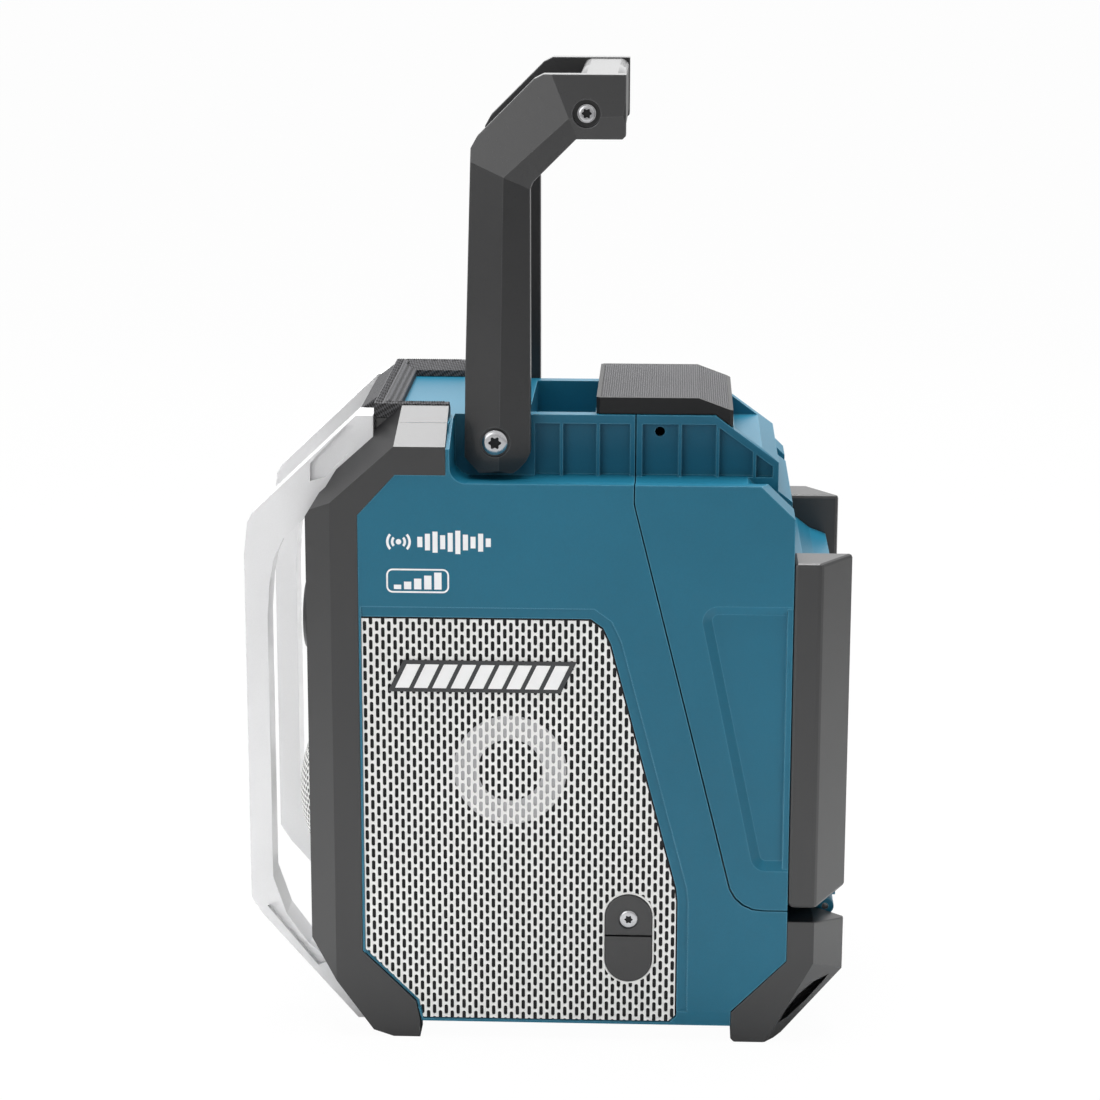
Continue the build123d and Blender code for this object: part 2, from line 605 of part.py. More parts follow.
def make_door_bumper(sign):
    outline = [
        (shoulder_y + seat, 221.5), (bumper_rear_y, 221.5),
        (bumper_rear_y, 68.0), (121.0, 64.0), (110.5, 64.0), (shoulder_y + seat, 65.2),
    ]
    form = side_prism(outline, trough_x, side_x, sign)
    bevel = [
        (sign * (side_x + 1), 120.0), (sign * side_x, 120.0), (sign * (side_x - 20.0), bumper_rear_y),
        (sign * (side_x - 20.0), bumper_rear_y + 1), (sign * (side_x + 1), bumper_rear_y + 1),
    ]
    return form - extrude(make_face(Polyline(*bevel, close=True)), 240)


hollow_depth = 3.5   # of the hollow in each rear foot


def make_foot(sign):
    outline = [
        (foot_front_y + seat, 1.6), (foot_front_y + seat, 14.0), (shoulder_y + seat, 39.0 - 2 * seat),
        (shoulder_y + seat, 57.6), (119.5, 57.6), (bumper_rear_y, 52.8), (bumper_rear_y, 28.5), (106.5, 2.6),
        (103.0, 0.8), (98.0, 0.0), (85.2, 0.0),
    ]
    form = side_prism(outline, trough_x, side_x, sign)
    bevel = [
        (sign * (side_x + 1), 120.0), (sign * side_x, 120.0), (sign * (side_x - 20.0), bumper_rear_y),
        (sign * (side_x - 20.0), bumper_rear_y + 1), (sign * (side_x + 1), bumper_rear_y + 1),
    ]
    form -= extrude(make_face(Polyline(*bevel, close=True)), 80)
    normal = Vector(sign * 0.646, 0.669, -0.368)
    corner = Vector(sign * side_x, 120.3, 38.7)
    beyond = Box(300, 300, 60, align=(Align.CENTER, Align.CENTER, Align.MIN))
    form -= Plane(corner, z_dir=normal) * beyond
    # long hollow in the sloping facet
    hollow = [(105.2, 9.4), (108.5, 16.0), (113.5, 22.0), (120.5, 26.6), (127.6, 27.8), (124.6, 24.2),
              (117.2, 17.0),
              (109.3, 10.9)]
    return form - (side_prism(hollow, trough_x + 1, side_x + 1,
                   sign) & Plane(corner - normal * hollow_depth, z_dir=normal) * beyond)


def make_guard(sign):
    outer = [
        (guard_front_y, 58.0), (guard_front_y, 218.5), (-132.2, 233.0), (-130.0, 237.0), (-83.5, 281.2),
        (-76.0 - seat, 281.2), (-76.0 - seat, 264.0), (-85.2, 262.5), (-89.0, 258.5), (-98.9, 243.4),
        (-108.0, 233.6), (-116.4, 225.5), (-120.7, 216.4), (-122.8, 206.0), (-124.0, 190.0),
        (-124.0, 68.0), (-118.0, 50.0), (-108.0, 36.0), (-96.0, 27.0), (-77.0, 8.0), (-77.0, 0.5),
        (-86.0, 0.5),
        (-129.0, 50.0),
    ]
    form = side_prism(outer, guard_inner_x, guard_outer_x, sign)
    # sculpted pockets in the side, next to the upper slope and near the bottom
    pocket = [(-104.0, 251.5), (-104.0, 259.5), (-101.5, 262.5), (-88.0, 276.5), (-85.0, 277.0),
              (-84.0, 271.0),
              (-87.5, 264.0), (-98.0, 253.0)]
    form -= side_prism(pocket, guard_outer_x - 3.0, guard_outer_x + 1, sign)
    low = [(-127.0, 54.0), (-122.0, 56.0), (-113.0, 40.0), (-100.0, 27.5), (-104.0, 25.5)]
    form -= side_prism(low, guard_outer_x - 3.0, guard_outer_x + 1, sign)
    return form


for side, sign in (("left", -1), ("right", 1)):
    keep(side + "_door_bumper", make_door_bumper(sign))
    keep(side + "_foot", make_foot(sign))
    keep(side + "_guard", make_guard(sign))
keep("top_rim", make_top_rim())


# ---------------------------------------------------------------- front panel
dial_z = 176.0
dial_r = 17.0
dial_depth = 11.0
key_size = 11.0
key_pitch = 16.0
key_z = 213.0
key_travel = 1.2
key_proud = 1.8
key_names = ("power_key", "source_key", "preset_one_key", "preset_two_key", "preset_three_key")
fascia_top = (-77.3, 263.2)
fascia_knee = (front_y, 237.2)
window_length = 26.0
panel_thickness = 2.4
fascia_outline = [
    (front_y, 34.0), fascia_knee, fascia_top, (fascia_top[0] + 0.8, fascia_top[1] - 2.3),
    (front_y + panel_thickness, fascia_knee[1] - 1.2), (front_y + panel_thickness, 34.0),
]
slope_middle = ((fascia_top[0] + fascia_knee[0]) / 2, (fascia_top[1] + fascia_knee[1]) / 2)
slope_plane = Plane((0, slope_middle[0], slope_middle[1]), x_dir=(1, 0, 0), z_dir=(0, -sqrt(0.5), sqrt(0.5)))
window_width = 76.0


def key_places():
    first = -(len(key_names) - 1) / 2 * key_pitch
    return [first + number * key_pitch for number in range(len(key_names))]


def make_fascia():
    form = prism(fascia_outline, -guard_outer_x, guard_outer_x)
    form -= rod_y(woofer_r + seat, front_y - 1, front_y + 5, 0, woofer_z)
    form -= rod_y(4.0, front_y - 1, front_y + 5, 0, dial_z)
    for x in key_places():
        half = key_size / 2 + gap
        form -= block(x - half, x + half, front_y - 1, front_y + 5, key_z - half, key_z + half)
    form -= slope_plane * Box(window_width + 2 * seat, window_length + 2 * seat, 2.0)
    form -= slope_plane * Box(window_width - 8, window_length - 6, 12)
    return form


keep("main_housing", make_housing())
keep("front_fascia", make_fascia())
keep("display_window", slope_plane * Pos(0, 0, -0.1) * Box(window_width, window_length, 1.8))


# ---------------------------------------------------------------- side grilles and loudspeakers
grille_x = side_x - grille_recess + seat
baffle_x = side_x - side_wall - seat
baffle_thickness = 2.5
cover_margin = 1.2


def make_grille(sign):
    form = shrunk(grille_outline, 0.4, grille_x, grille_x + sheet)
    if sign > 0:
        return form - jack_shape(cover_margin, grille_x - 1, grille_x + 3)
    return mirror(form, Plane.YZ)


def turned(profile):
    """Solid turned about the local Z axis from (radius, height) points."""
    face = Plane.XZ * make_face(Polyline(*profile, close=True))
    return revolve(face, Axis.Z)


def speaker_basket(r, depth):
    neck = 0.45 * r
    return turned([
        (r - 7, 0), (r, 0), (r, -3), (r - 5, -3), (neck + 1.6, -0.6 * depth), (neck + 1.6, -0.66 * depth),
        (0.2 * r, -0.66 * depth), (0.2 * r, -0.62 * depth), (neck, -0.6 * depth), (r - 7, -2.4),
    ])


def speaker_cone(r, depth):
    return turned([
        (0, -0.22 * depth), (0.2 * r, -0.27 * depth), (0.26 * r, -0.33 * depth), (r - 13, -1.8),
        (r - 11, 0.4),
        (r - 8.5, 0.4), (r - 7.1, -1.6), (r - 7.1, -2.2), (r - 9, -1.0), (r - 11, -1.0), (r - 13, -3.4),
        (0.26 * r, -0.42 * depth), (0.18 * r, -0.42 * depth), (0.18 * r, -0.6 * depth),
        (0.16 * r, -0.6 * depth),
        (0.16 * r, -0.33 * depth), (0, -0.28 * depth),
    ])


def speaker_magnet(r, depth):
    return turned([
        (0.22 * r, -0.66 * depth - seat), (0.55 * r, -0.66 * depth - seat), (0.55 * r, -depth),
        (0.06 * r, -depth),
        (0.06 * r, -0.9 * depth), (0.22 * r, -0.9 * depth),
    ])


def on_side(shape, sign):
    place = Pos(sign * (baffle_x - baffle_thickness - seat), speaker_y, speaker_z) * Rot(0, sign * 90, 0)
    return place * shape


for side, sign in (("left", -1), ("right", 1)):
    keep(side + "_grille", make_grille(sign))
    plate = shrunk(side_opening, -4.0, baffle_x - baffle_thickness, baffle_x)
    plate -= rod_x(speaker_r - 7, baffle_x - 5, baffle_x + 1, speaker_y, speaker_z)
    plate -= rod_x(9.0, baffle_x - 5, baffle_x + 1, -45.0, 60.0)
    keep(side + "_baffle", plate if sign > 0 else mirror(plate, Plane.YZ))
    keep(side + "_speaker_basket", on_side(speaker_basket(speaker_r, speaker_depth), sign))
    keep(side + "_speaker_cone", on_side(speaker_cone(speaker_r, speaker_depth), sign))
    keep(side + "_speaker_magnet", on_side(speaker_magnet(speaker_r, speaker_depth), sign))

woofer_place = Pos(0, front_y + 2 * wall + seat, woofer_z) * Rot(90, 0, 0)
keep("woofer_basket", woofer_place * speaker_basket(woofer_r - 2, woofer_depth))
keep("woofer_cone", woofer_place * speaker_cone(woofer_r - 2, woofer_depth))
keep("woofer_magnet", woofer_place * speaker_magnet(woofer_r - 2, woofer_depth))


def make_woofer_grille():
    """Domed steel grille in a raised ring."""
    cap_r = 36.0
    rise = woofer_dome - 3.2
    ball_r = (cap_r ** 2 + rise ** 2) / (2 * rise)
    skin = 1.2
    ring = turned([
        (woofer_r - seat, -2.3), (woofer_r - seat, 1.6), (woofer_r - 2, 3.4), (cap_r + 4, 4.6),
        (cap_r, 3.2), (cap_r - 1.5, 3.2),
        (cap_r - 1.5, 2.0), (cap_r + 3, 2.6), (woofer_r - 4, 1.6), (woofer_r - 4, -2.3),
    ])
    centre = 3.2 + rise - ball_r
    dome = Pos(0, 0, centre) * Sphere(ball_r) - Pos(0, 0, centre) * Sphere(ball_r - skin)
    dome &= Pos(0, 0, 3.0 + 50) * Cylinder(cap_r - 0.5, 100)
    return ring + dome


keep("woofer_grille", Pos(0, front_y, woofer_z) * Rot(90, 0, 0) * make_woofer_grille())


# ---------------------------------------------------------------- jack cover
flap_seam = 1.0
jack_face_x = side_x - grille_recess + seat


def make_jack_cover():
    top = block(60, 90, 20, 60, jack_z + flap_seam + 0.6, jack_z + 40)
    form = jack_shape(0, jack_face_x, side_x) & top
    form -= rod_x(2.1, 70, 90, jack_y, jack_z + 9)
    form -= rod_x(4.3, side_x - 0.8, 90, jack_y, jack_z + 9)
    return form


def make_jack_flap():
    low = block(60, 90, 20, 60, jack_z - 40, jack_z + flap_seam)
    form = jack_shape(0, jack_face_x, side_x) & low
    plug = rod_x(jack_bore - swing, jack_face_x - 2.5, jack_face_x, jack_y, jack_z - 10)
    plug -= rod_x(jack_bore - swing - 1.4, jack_face_x - 2.6, jack_face_x - 0.5, jack_y, jack_z - 10)
    return form + plug


def make_screw_x(x_head, y, z, head_r, head_height, shank_r, length):
    """Pan-head screw along X with a star recess, head outwards on +X."""
    form = rod_x(head_r, x_head - head_height, x_head, y, z) + rod_x(shank_r, x_head - length, x_head, y, z)
    return form - rod_x(head_r * 0.45, x_head - head_height * 0.6, x_head + 1, y, z)


keep("jack_cover", make_jack_cover())
keep("jack_flap", make_jack_flap())
keep("jack_screw", make_screw_x(side_x, jack_y, jack_z + 9, 4.2, 0.75, jack_screw_r, 9.0))
socket = rod_x(jack_bore - 0.6, side_x - side_wall - 11, side_x - side_wall - 1, jack_y, jack_z - 10)
socket -= rod_x(3.2, side_x - side_wall - 9, side_x, jack_y, jack_z - 10)
socket += rod_x(1.0, side_x - side_wall - 10, side_x - side_wall - 3, jack_y, jack_z - 10)
keep("dc_jack", socket)


# ---------------------------------------------------------------- controls, display and boards
keep("display_module", slope_plane * Pos(0, 0, -3.6) * Box(window_width - 10, window_length - 8, 5.0))
board_thickness = 1.6
dial_shaft_r = 3.0
for key_name, x in zip(key_names, key_places()):
    half = key_size / 2
    key = block(x - half, x + half, front_y - key_proud, front_y + 2.2, key_z - half, key_z + half)
    key = chamfer(key.faces().sort_by(Axis.Y)[0].edges(), 0.8)
    keep(key_name, key + rod_y(2.0, front_y + 2.2, board_y - key_travel - gap, x, key_z))

knob = rod_y(dial_r, front_y - dial_depth, front_y - gap, 0, dial_z)
knob = chamfer(knob.faces().sort_by(Axis.Y)[0].edges(), 1.5)
for number in range(24):
    angle = radians(number * 15)
    knob -= rod_y(1.1, front_y - dial_depth + 2.5, front_y, (dial_r + 0.5) * cos(angle),
                  dial_z + (dial_r + 0.5) * sin(angle))
knob -= rod_y(dial_shaft_r, front_y - 8, front_y + 1, 0, dial_z)
keep("tuning_dial", knob)
keep("dial_shaft", rod_y(dial_shaft_r, front_y - 8, board_y - 0.7, 0, dial_z))
encoder = block(-8, 8, front_y + panel_thickness + seat, board_y - seat, dial_z - 7, dial_z + 7)
keep("dial_encoder", encoder - rod_y(dial_shaft_r + run_fit, front_y, board_y, 0, dial_z))
keep("main_board", block(-46, 46, board_y, board_y + board_thickness, 147, 226))
board = block(-50, 50, -40, 48, amplifier_z, amplifier_z + board_thickness)
board += block(-20, 20, -10, 20, amplifier_z + board_thickness, amplifier_z + 12)
keep("amplifier_board", board)
antenna_r = 4.0
antenna_half = block_x - rib_depth - wall - 2.9
keep("ferrite_antenna", rod_x(antenna_r, -antenna_half, antenna_half, -25.0,
     block_z - wall - antenna_r - seat))
screws = []
for x in (-floor_screw_x, floor_screw_x):
    for y in (-36.0, 44.0):
        screws.append(rod_z(3.4, floor_z, floor_z + 1.5, x, y) + rod_z(floor_screw_r, floor_z + 1.5,
                      floor_z + 9, x, y))
keep("housing_screws", Compound(children=screws))

# ---------------------------------------------------------------- battery bay
bay_x = 60.0
bay_wall = 2.2
bay_floor_z = foot_height + seat
bay_outline = [
    (16.0, 246.0), (36.0, 246.0), (80.0, 76.0), (87.0, bay_floor_z + 5), (87.0, bay_floor_z),
    (57.0, bay_floor_z), (52.0, 80.0),
]
bay_hollow = [
    (19.0, 243.5), (60.0, 243.5), (110.0, bay_floor_z + bay_wall), (59.0, bay_floor_z + bay_wall),
    (54.3, 81.0),
]
bay = prism(bay_outline, -bay_x, bay_x) - prism(bay_hollow, -bay_x + bay_wall, bay_x - bay_wall)
keep("bay_liner", bay)
terminals = prism([(50.5, 100.0), (60.0, 100.0), (53.4, 130.0), (43.9, 130.0)], -22, 22)
for x in (-15, -5, 5, 15):
    terminals -= block(x - 1, x + 1, 48, 70, 104, 126) & prism([(55.5, 100), (64, 100), (57, 130),
                       (48.9, 130)], -22, 22)
keep("terminal_block", terminals)

# ---------------------------------------------------------------- carry handle
heel_drop = 14.0     # underside of the arm below its pivot
arm_outline = [
    (-36.5, 262.0), (-30.0, pivot_z - heel_drop), (pivot_y + 8.0, pivot_z - heel_drop),
    (pivot_y + 10.5, pivot_z - 12.2), (pivot_y + 13.5, pivot_z - 9.0), (pivot_y + 15.5, pivot_z - 5.0),
    (-7.7, handle_top_z - 49.5),
    (-6.5, handle_top_z - 46.0), (grip_front_y, grip_low_z), (grip_rear_y - 1.5, grip_low_z),
    (grip_rear_y, grip_low_z + 1.5),
    (grip_rear_y, handle_top_z), (-2.0, handle_top_z), (-6.0, handle_top_z - 2.0),
    (-30.5, handle_top_z - 26.5), (-33.3, handle_top_z - 31.5),
    (-36.0, 300.0),
]
ridge = [
    ((-21.3, pivot_z - 12.0), (-19.1, handle_top_z - 43.8)),
    ((-19.1, handle_top_z - 43.8), (8.9, handle_top_z - 18.4)),
    ((8.9, handle_top_z - 18.4), (32.8, handle_top_z - 17.4)),
]
ridge_fall_front = 0.15  # slope of the faces of an arm away from the ridge
ridge_fall_rear = 0.26
pivot_sink_r = 6.6
pivot_sink = 1.6


def half_space(point, tilt_y, tilt_z):
    plane = Plane((arm_outer_x, point[0], point[1]), z_dir=(1, tilt_y, tilt_z))
    return plane * Box(700, 700, 60, align=(Align.CENTER, Align.CENTER, Align.MIN))


def make_arm():
    form = prism(arm_outline, arm_inner_x, arm_outer_x)
    outer_edges = form.faces().sort_by(Axis.X)[-1].edges()
    form = chamfer(outer_edges, 1.2)
    rear_cut = None
    for start, end in ridge:
        length = sqrt((end[0] - start[0]) ** 2 + (end[1] - start[1]) ** 2)
        normal_y = -(end[1] - start[1]) / length
        normal_z = (end[0] - start[0]) / length
        form -= half_space(start, ridge_fall_front * normal_y, ridge_fall_front * normal_z)
        behind = half_space(start, -ridge_fall_rear * normal_y, -ridge_fall_rear * normal_z)
        rear_cut = behind if rear_cut is None else rear_cut & behind
    form -= rear_cut
    form -= rod_x(pivot_pin_r + run_fit, arm_inner_x - 1, arm_outer_x + 1, pivot_y, pivot_z)
    form -= rod_x(pivot_sink_r, arm_outer_x - pivot_sink, arm_outer_x + 1, pivot_y, pivot_z)
    form -= rod_x(6.0, arm_outer_x - 5.0, arm_outer_x + 1, grip_screw_y, grip_screw_z)
    form -= rod_x(2.1, arm_inner_x - 1, arm_outer_x, grip_screw_y, grip_screw_z)
    return form


right_arm = make_arm()
keep("right_arm", right_arm)
keep("left_arm", mirror(right_arm, Plane.YZ))
grip_outline = [(grip_front_y + 0.5, grip_low_z + 0.6), (grip_rear_y - 0.4, grip_low_z + 0.6),
                (grip_rear_y - 0.4, handle_top_z - 0.5), (grip_front_y + 0.5, handle_top_z - 0.5)]
grip = round_prism(grip_outline, 3.5, -arm_inner_x + seat, arm_inner_x - seat)
keep("handle_grip", grip - rod_x(grip_tube_r + run_fit, -60, 60, grip_screw_y, grip_screw_z))
tube = rod_x(grip_tube_r, -arm_inner_x + seat, arm_inner_x - seat, grip_screw_y, grip_screw_z)
keep("grip_tube", tube - rod_x(2.0, -60, 60, grip_screw_y, grip_screw_z))
head_x = arm_outer_x - 2.8
grip_screw = rod_x(4.0, head_x - 2.1, head_x, grip_screw_y, grip_screw_z)
grip_screw += rod_x(2.0, head_x - 18, head_x - 2, grip_screw_y, grip_screw_z)
grip_screw -= rod_x(2.35, head_x - 1.3, head_x + 1, grip_screw_y, grip_screw_z)
keep("grip_screws", both_sides(grip_screw))
head_seat_x = arm_outer_x - pivot_sink + gap
dome_top_x = head_seat_x + 2.4
head = rod_x(pivot_head_r, head_seat_x, dome_top_x, pivot_y, pivot_z)
head = chamfer(head.faces().sort_by(Axis.X)[-1].edges(), 1.6)
bolt = head + rod_x(pivot_pin_r, block_x - 4, head_seat_x + 0.1, pivot_y, pivot_z)
bolt -= rod_x(3.1, dome_top_x - 1.6, dome_top_x + 1, pivot_y, pivot_z)
keep("pivot_bolts", both_sides(bolt))
washer = rod_x(7.0, block_x + seat, arm_inner_x - gap, pivot_y, pivot_z)
keep("pivot_washers", both_sides(washer - rod_x(pivot_pin_r + run_fit, block_x, arm_inner_x, pivot_y,
     pivot_z)))

# ---------------------------------------------------------------- blank badge plates
for side, sign in (("left", -1), ("right", 1)):
    badge_outline = [(-67.0, 160.5), (-67.0, 177.5), (12.0, 177.5), (12.0, 160.5)]
    keep(side + "_badge", side_prism(badge_outline, grille_x + sheet + seat, side_x - seat, sign))


# ---------------------------------------------------------------- write
for name, shape in nodes.items():
    export_step(shape, "parts/" + name + ".step")
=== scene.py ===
import math

import bpy
from mathutils import Matrix, Vector


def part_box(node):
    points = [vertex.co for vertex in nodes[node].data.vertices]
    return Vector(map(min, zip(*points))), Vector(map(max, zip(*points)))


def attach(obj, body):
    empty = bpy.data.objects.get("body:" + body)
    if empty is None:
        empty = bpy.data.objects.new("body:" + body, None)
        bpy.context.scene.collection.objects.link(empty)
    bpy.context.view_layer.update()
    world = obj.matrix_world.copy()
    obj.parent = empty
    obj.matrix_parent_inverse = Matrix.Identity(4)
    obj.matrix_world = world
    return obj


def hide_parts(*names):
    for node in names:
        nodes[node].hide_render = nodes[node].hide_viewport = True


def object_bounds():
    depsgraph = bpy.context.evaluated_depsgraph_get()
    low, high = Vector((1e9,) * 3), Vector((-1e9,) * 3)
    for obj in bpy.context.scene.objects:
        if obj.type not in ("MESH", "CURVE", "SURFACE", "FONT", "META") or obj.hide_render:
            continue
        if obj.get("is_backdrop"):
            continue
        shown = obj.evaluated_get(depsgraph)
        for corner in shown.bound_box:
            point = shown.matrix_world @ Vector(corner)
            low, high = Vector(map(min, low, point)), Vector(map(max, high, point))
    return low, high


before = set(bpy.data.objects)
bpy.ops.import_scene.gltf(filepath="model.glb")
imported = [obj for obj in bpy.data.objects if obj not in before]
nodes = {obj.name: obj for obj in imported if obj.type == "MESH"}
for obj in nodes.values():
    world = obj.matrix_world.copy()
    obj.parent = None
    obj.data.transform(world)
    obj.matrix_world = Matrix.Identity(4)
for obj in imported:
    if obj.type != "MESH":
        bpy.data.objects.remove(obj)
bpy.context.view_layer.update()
mm = 0.001


# small helpers
def deselectAll():
    if bpy.context.object and bpy.context.object.mode != "OBJECT":
        bpy.ops.object.mode_set(mode="OBJECT")
    bpy.ops.object.select_all(action="DESELECT")


def pick(piece):
    deselectAll()
    piece.select_set(True)
    bpy.context.view_layer.objects.active = piece


def settle(piece):
    # location, rotation and scale go into the mesh
    pick(piece)
    bpy.ops.object.transform_apply(location=True, rotation=True, scale=True)


def applyModifiers(piece):
    pick(piece)
    for modifier in list(piece.modifiers):
        bpy.ops.object.modifier_apply(modifier=modifier.name)


def selectFaces(piece, wanted):
    # the faces that pass a test are selected, in edit mode
    bpy.ops.object.mode_set(mode="OBJECT")
    for vertex in piece.data.vertices:
        vertex.select = False
    for edge in piece.data.edges:
        edge.select = False
    for face in piece.data.polygons:
        face.select = wanted(face)
    bpy.ops.object.mode_set(mode="EDIT")
    bpy.ops.mesh.select_mode(type="FACE")


def joinAll(pieces, name):
    deselectAll()
    for piece in pieces:
        piece.select_set(True)
    bpy.context.view_layer.objects.active = pieces[0]
    bpy.ops.object.join()
    pieces[0].name = name
    return pieces[0]


def bevelPiece(piece, width):
    # edges sharper than 35 degrees are rounded
    bevel = piece.modifiers.new("edge", "BEVEL")
    bevel.width = width * mm
    bevel.segments = 2
    bevel.limit_method = "ANGLE"
    bevel.angle_limit = math.radians(35)
    bevel.harden_normals = False


def repeatPiece(piece, count, step):
    # copies in a row, step as a vector in metres
    row = piece.modifiers.new("row", "ARRAY")
    row.count = count
    row.use_relative_offset = False
    row.use_constant_offset = True
    row.constant_offset_displace = step
    return row


def paint(piece, material):
    piece.data.materials.clear()
    piece.data.materials.append(material)


def linear(hexColour):
    # sRGB hex to linear RGBA
    values = [int(hexColour[i:i + 2], 16) / 255 for i in (1, 3, 5)]
    curve = [v / 12.92 if v <= 0.04045 else ((v + 0.055) / 1.055) ** 2.4 for v in values]
    return (*curve, 1.0)


def addNode(tree, kind, settings=None, links=None):
    # one node with its settings, its input values and what feeds its inputs
    node = tree.nodes.new(kind)
    for key, value in (settings or {}).items():
        if isinstance(key, int) or key in node.inputs:
            node.inputs[key].default_value = value
        else:
            setattr(node, key, value)
    for socket, source in (links or {}).items():
        tree.links.new(source, node.inputs[socket])
    return node


def newMaterial(name, colour, roughness, metallic=0.0, ior=1.5, coat=0.0):
    material = bpy.data.materials.new(name)
    material.use_nodes = True
    shader = material.node_tree.nodes["Principled BSDF"]
    shader.inputs["Base Color"].default_value = linear(colour)
    shader.inputs["Roughness"].default_value = roughness
    shader.inputs["Metallic"].default_value = metallic
    shader.inputs["IOR"].default_value = ior
    shader.inputs["Coat Weight"].default_value = coat
    return material, material.node_tree, shader


# drift per metre, share of the fine grain in the shade, stops of the shade, strength of the relief,
# change of the roughness either way
grainLook = {"drift": 9.0, "share": 0.35, "stops": (0.45, 0.85), "relief": 0.35, "spread": 0.06}


def grained(name, dark, light, roughness, grain, depth, metallic=0.0, coat=0.0, ior=1.5):
    # moulded or coated surface: broad shade drift, fine grain as bump, roughness that varies a little
    material, tree, shader = newMaterial(name, light, roughness, metallic, ior, coat)
    coords = addNode(tree, "ShaderNodeTexCoord")
    broad = addNode(tree, "ShaderNodeTexNoise", {"Scale": grainLook["drift"], "Detail": 3.0},
                    {"Vector": coords.outputs["Object"]})
    fine = addNode(tree, "ShaderNodeTexNoise", {"Scale": 1 / (grain * mm), "Detail": 2.0, "Roughness": 0.6},
                   {"Vector": coords.outputs["Object"]})
    blend = addNode(tree, "ShaderNodeMath", {"operation": "MULTIPLY_ADD", 1: grainLook["share"]},
                    {0: fine.outputs["Fac"], 2: broad.outputs["Fac"]})
    ramp = addNode(tree, "ShaderNodeValToRGB", None, {"Fac": blend.outputs["Value"]})
    for stop, at, shade in zip(ramp.color_ramp.elements, grainLook["stops"], (dark, light)):
        stop.position = at
        stop.color = linear(shade)
    tree.links.new(ramp.outputs["Color"], shader.inputs["Base Color"])
    spread = grainLook["spread"]
    rough = addNode(tree, "ShaderNodeMapRange", {"To Min": roughness - spread, "To Max": roughness + spread},
                    {"Value": fine.outputs["Fac"]})
    tree.links.new(rough.outputs["Result"], shader.inputs["Roughness"])
    bump = addNode(tree, "ShaderNodeBump", {"Strength": grainLook["relief"], "Distance": depth * mm},
                   {"Height": fine.outputs["Fac"]})
    tree.links.new(bump.outputs["Normal"], shader.inputs["Normal"])
    return material


def paintEdgeHighlight(material, colour, radius, most):
    # painted highlight: the base colour is lightened along rounded edges, found by comparing the rounded
    # normal with the flat one
    tree = material.node_tree
    shader = tree.nodes["Principled BSDF"]
    base = shader.inputs["Base Color"].links[0].from_socket
    rounded = addNode(tree, "ShaderNodeBevel", {"samples": 4, "Radius": radius * mm})
    flat = addNode(tree, "ShaderNodeNewGeometry")
    facing = addNode(tree, "ShaderNodeVectorMath", {"operation": "DOT_PRODUCT"},
                     {0: rounded.outputs["Normal"], 1: flat.outputs["Normal"]})
    amount = addNode(tree, "ShaderNodeMapRange", {"From Min": 1.0, "From Max": 0.9, "To Max": most},
                     {"Value": facing.outputs["Value"]})
    # a colour mix has its factor at input 0, its colours at 6 and 7 and its result at output 2
    mixed = addNode(tree, "ShaderNodeMix", {"data_type": "RGBA"})
    mixed.inputs[7].default_value = linear(colour)
    tree.links.new(amount.outputs["Result"], mixed.inputs[0])
    tree.links.new(base, mixed.inputs[6])
    tree.links.new(mixed.outputs[2], shader.inputs["Base Color"])


# materials
# name, dark and light shade, roughness, grain in mm, depth of the grain in mm
# moulded ABS from a spark-eroded mould: even satin
blueAbs = grained("blueAbsMoulded", "#0c5b73", "#11647e", 0.42, 0.7, 0.05, ior=1.4)
# soft rubber moulded over the corners: a broad sheen on faces that turn to the light
bumperRubber = grained("tpeOvermould", "#151516", "#1c1c1d", 0.36, 0.5, 0.06, ior=1.6)
# silver-white paint over moulded ABS: smooth, with a thin clear gloss
silverPaint = grained("silverWhitePaint", "#dadadb", "#e4e4e5", 0.34, 0.45, 0.02, coat=0.15)
# powder coat on punched steel: faintly pebbled, low gloss
powderCoat = grained("powderCoatSteel", "#dcdcda", "#e9e9e7", 0.42, 0.4, 0.03)
# glass-filled nylon: nearly black, with a polished sheen
handleNylon = grained("glassNylon", "#171718", "#202021", 0.3, 0.6, 0.05, coat=0.2)
# the same nylon from a coarser mould: darker and duller
latchNylon = grained("latchNylon", "#0b0b0c", "#121213", 0.42, 0.6, 0.05, ior=1.35)
# unseen moulded ABS inside the casing: matt
blackAbs = grained("blackAbs", "#0c0c0d", "#141415", 0.6, 0.7, 0.05)
# zinc-plated steel of screws and pins: bright, a little cloudy
zincSteel = grained("zincPlatedSteel", "#a2a2a4", "#bdbdbf", 0.24, 1.2, 0.01, metallic=1.0)
# pressed paper pulp of the loudspeaker cones: rough and dull
conePaper = grained("pressedPaper", "#151516", "#1d1d1f", 0.8, 0.9, 0.1)
# sintered ferrite: grey-black and faintly sandy
ferrite = grained("sinteredFerrite", "#19191a", "#232324", 0.7, 0.8, 0.05)
# stamped and blackened steel: dark, with a weak shine
basketSteel = grained("blackenedSteel", "#232324", "#2e2e30", 0.45, 0.8, 0.03, metallic=0.6)
# glass-fibre board under green solder mask: half gloss
solderMask = grained("fibreBoard", "#0d3b22", "#145030", 0.35, 2.0, 0.02)
# stoved lacquer on a thin plate: even and half matt
platePaint = grained("badgeLacquer", "#262729", "#303133", 0.4, 0.5, 0.02)
# screen-printed white ink: flat and even
whitePrint = grained("whiteInk", "#e6e6e6", "#efefef", 0.45, 0.3, 0.01)
# moulded silicone of the keys: soft and matt
keyRubber = grained("keySilicone", "#2a2a2c", "#343436", 0.55, 0.6, 0.04)
# moulded ABS of the dial: a little glossier than the casing
dialAbs = grained("dialAbs", "#1f1f21", "#29292b", 0.38, 0.6, 0.04)
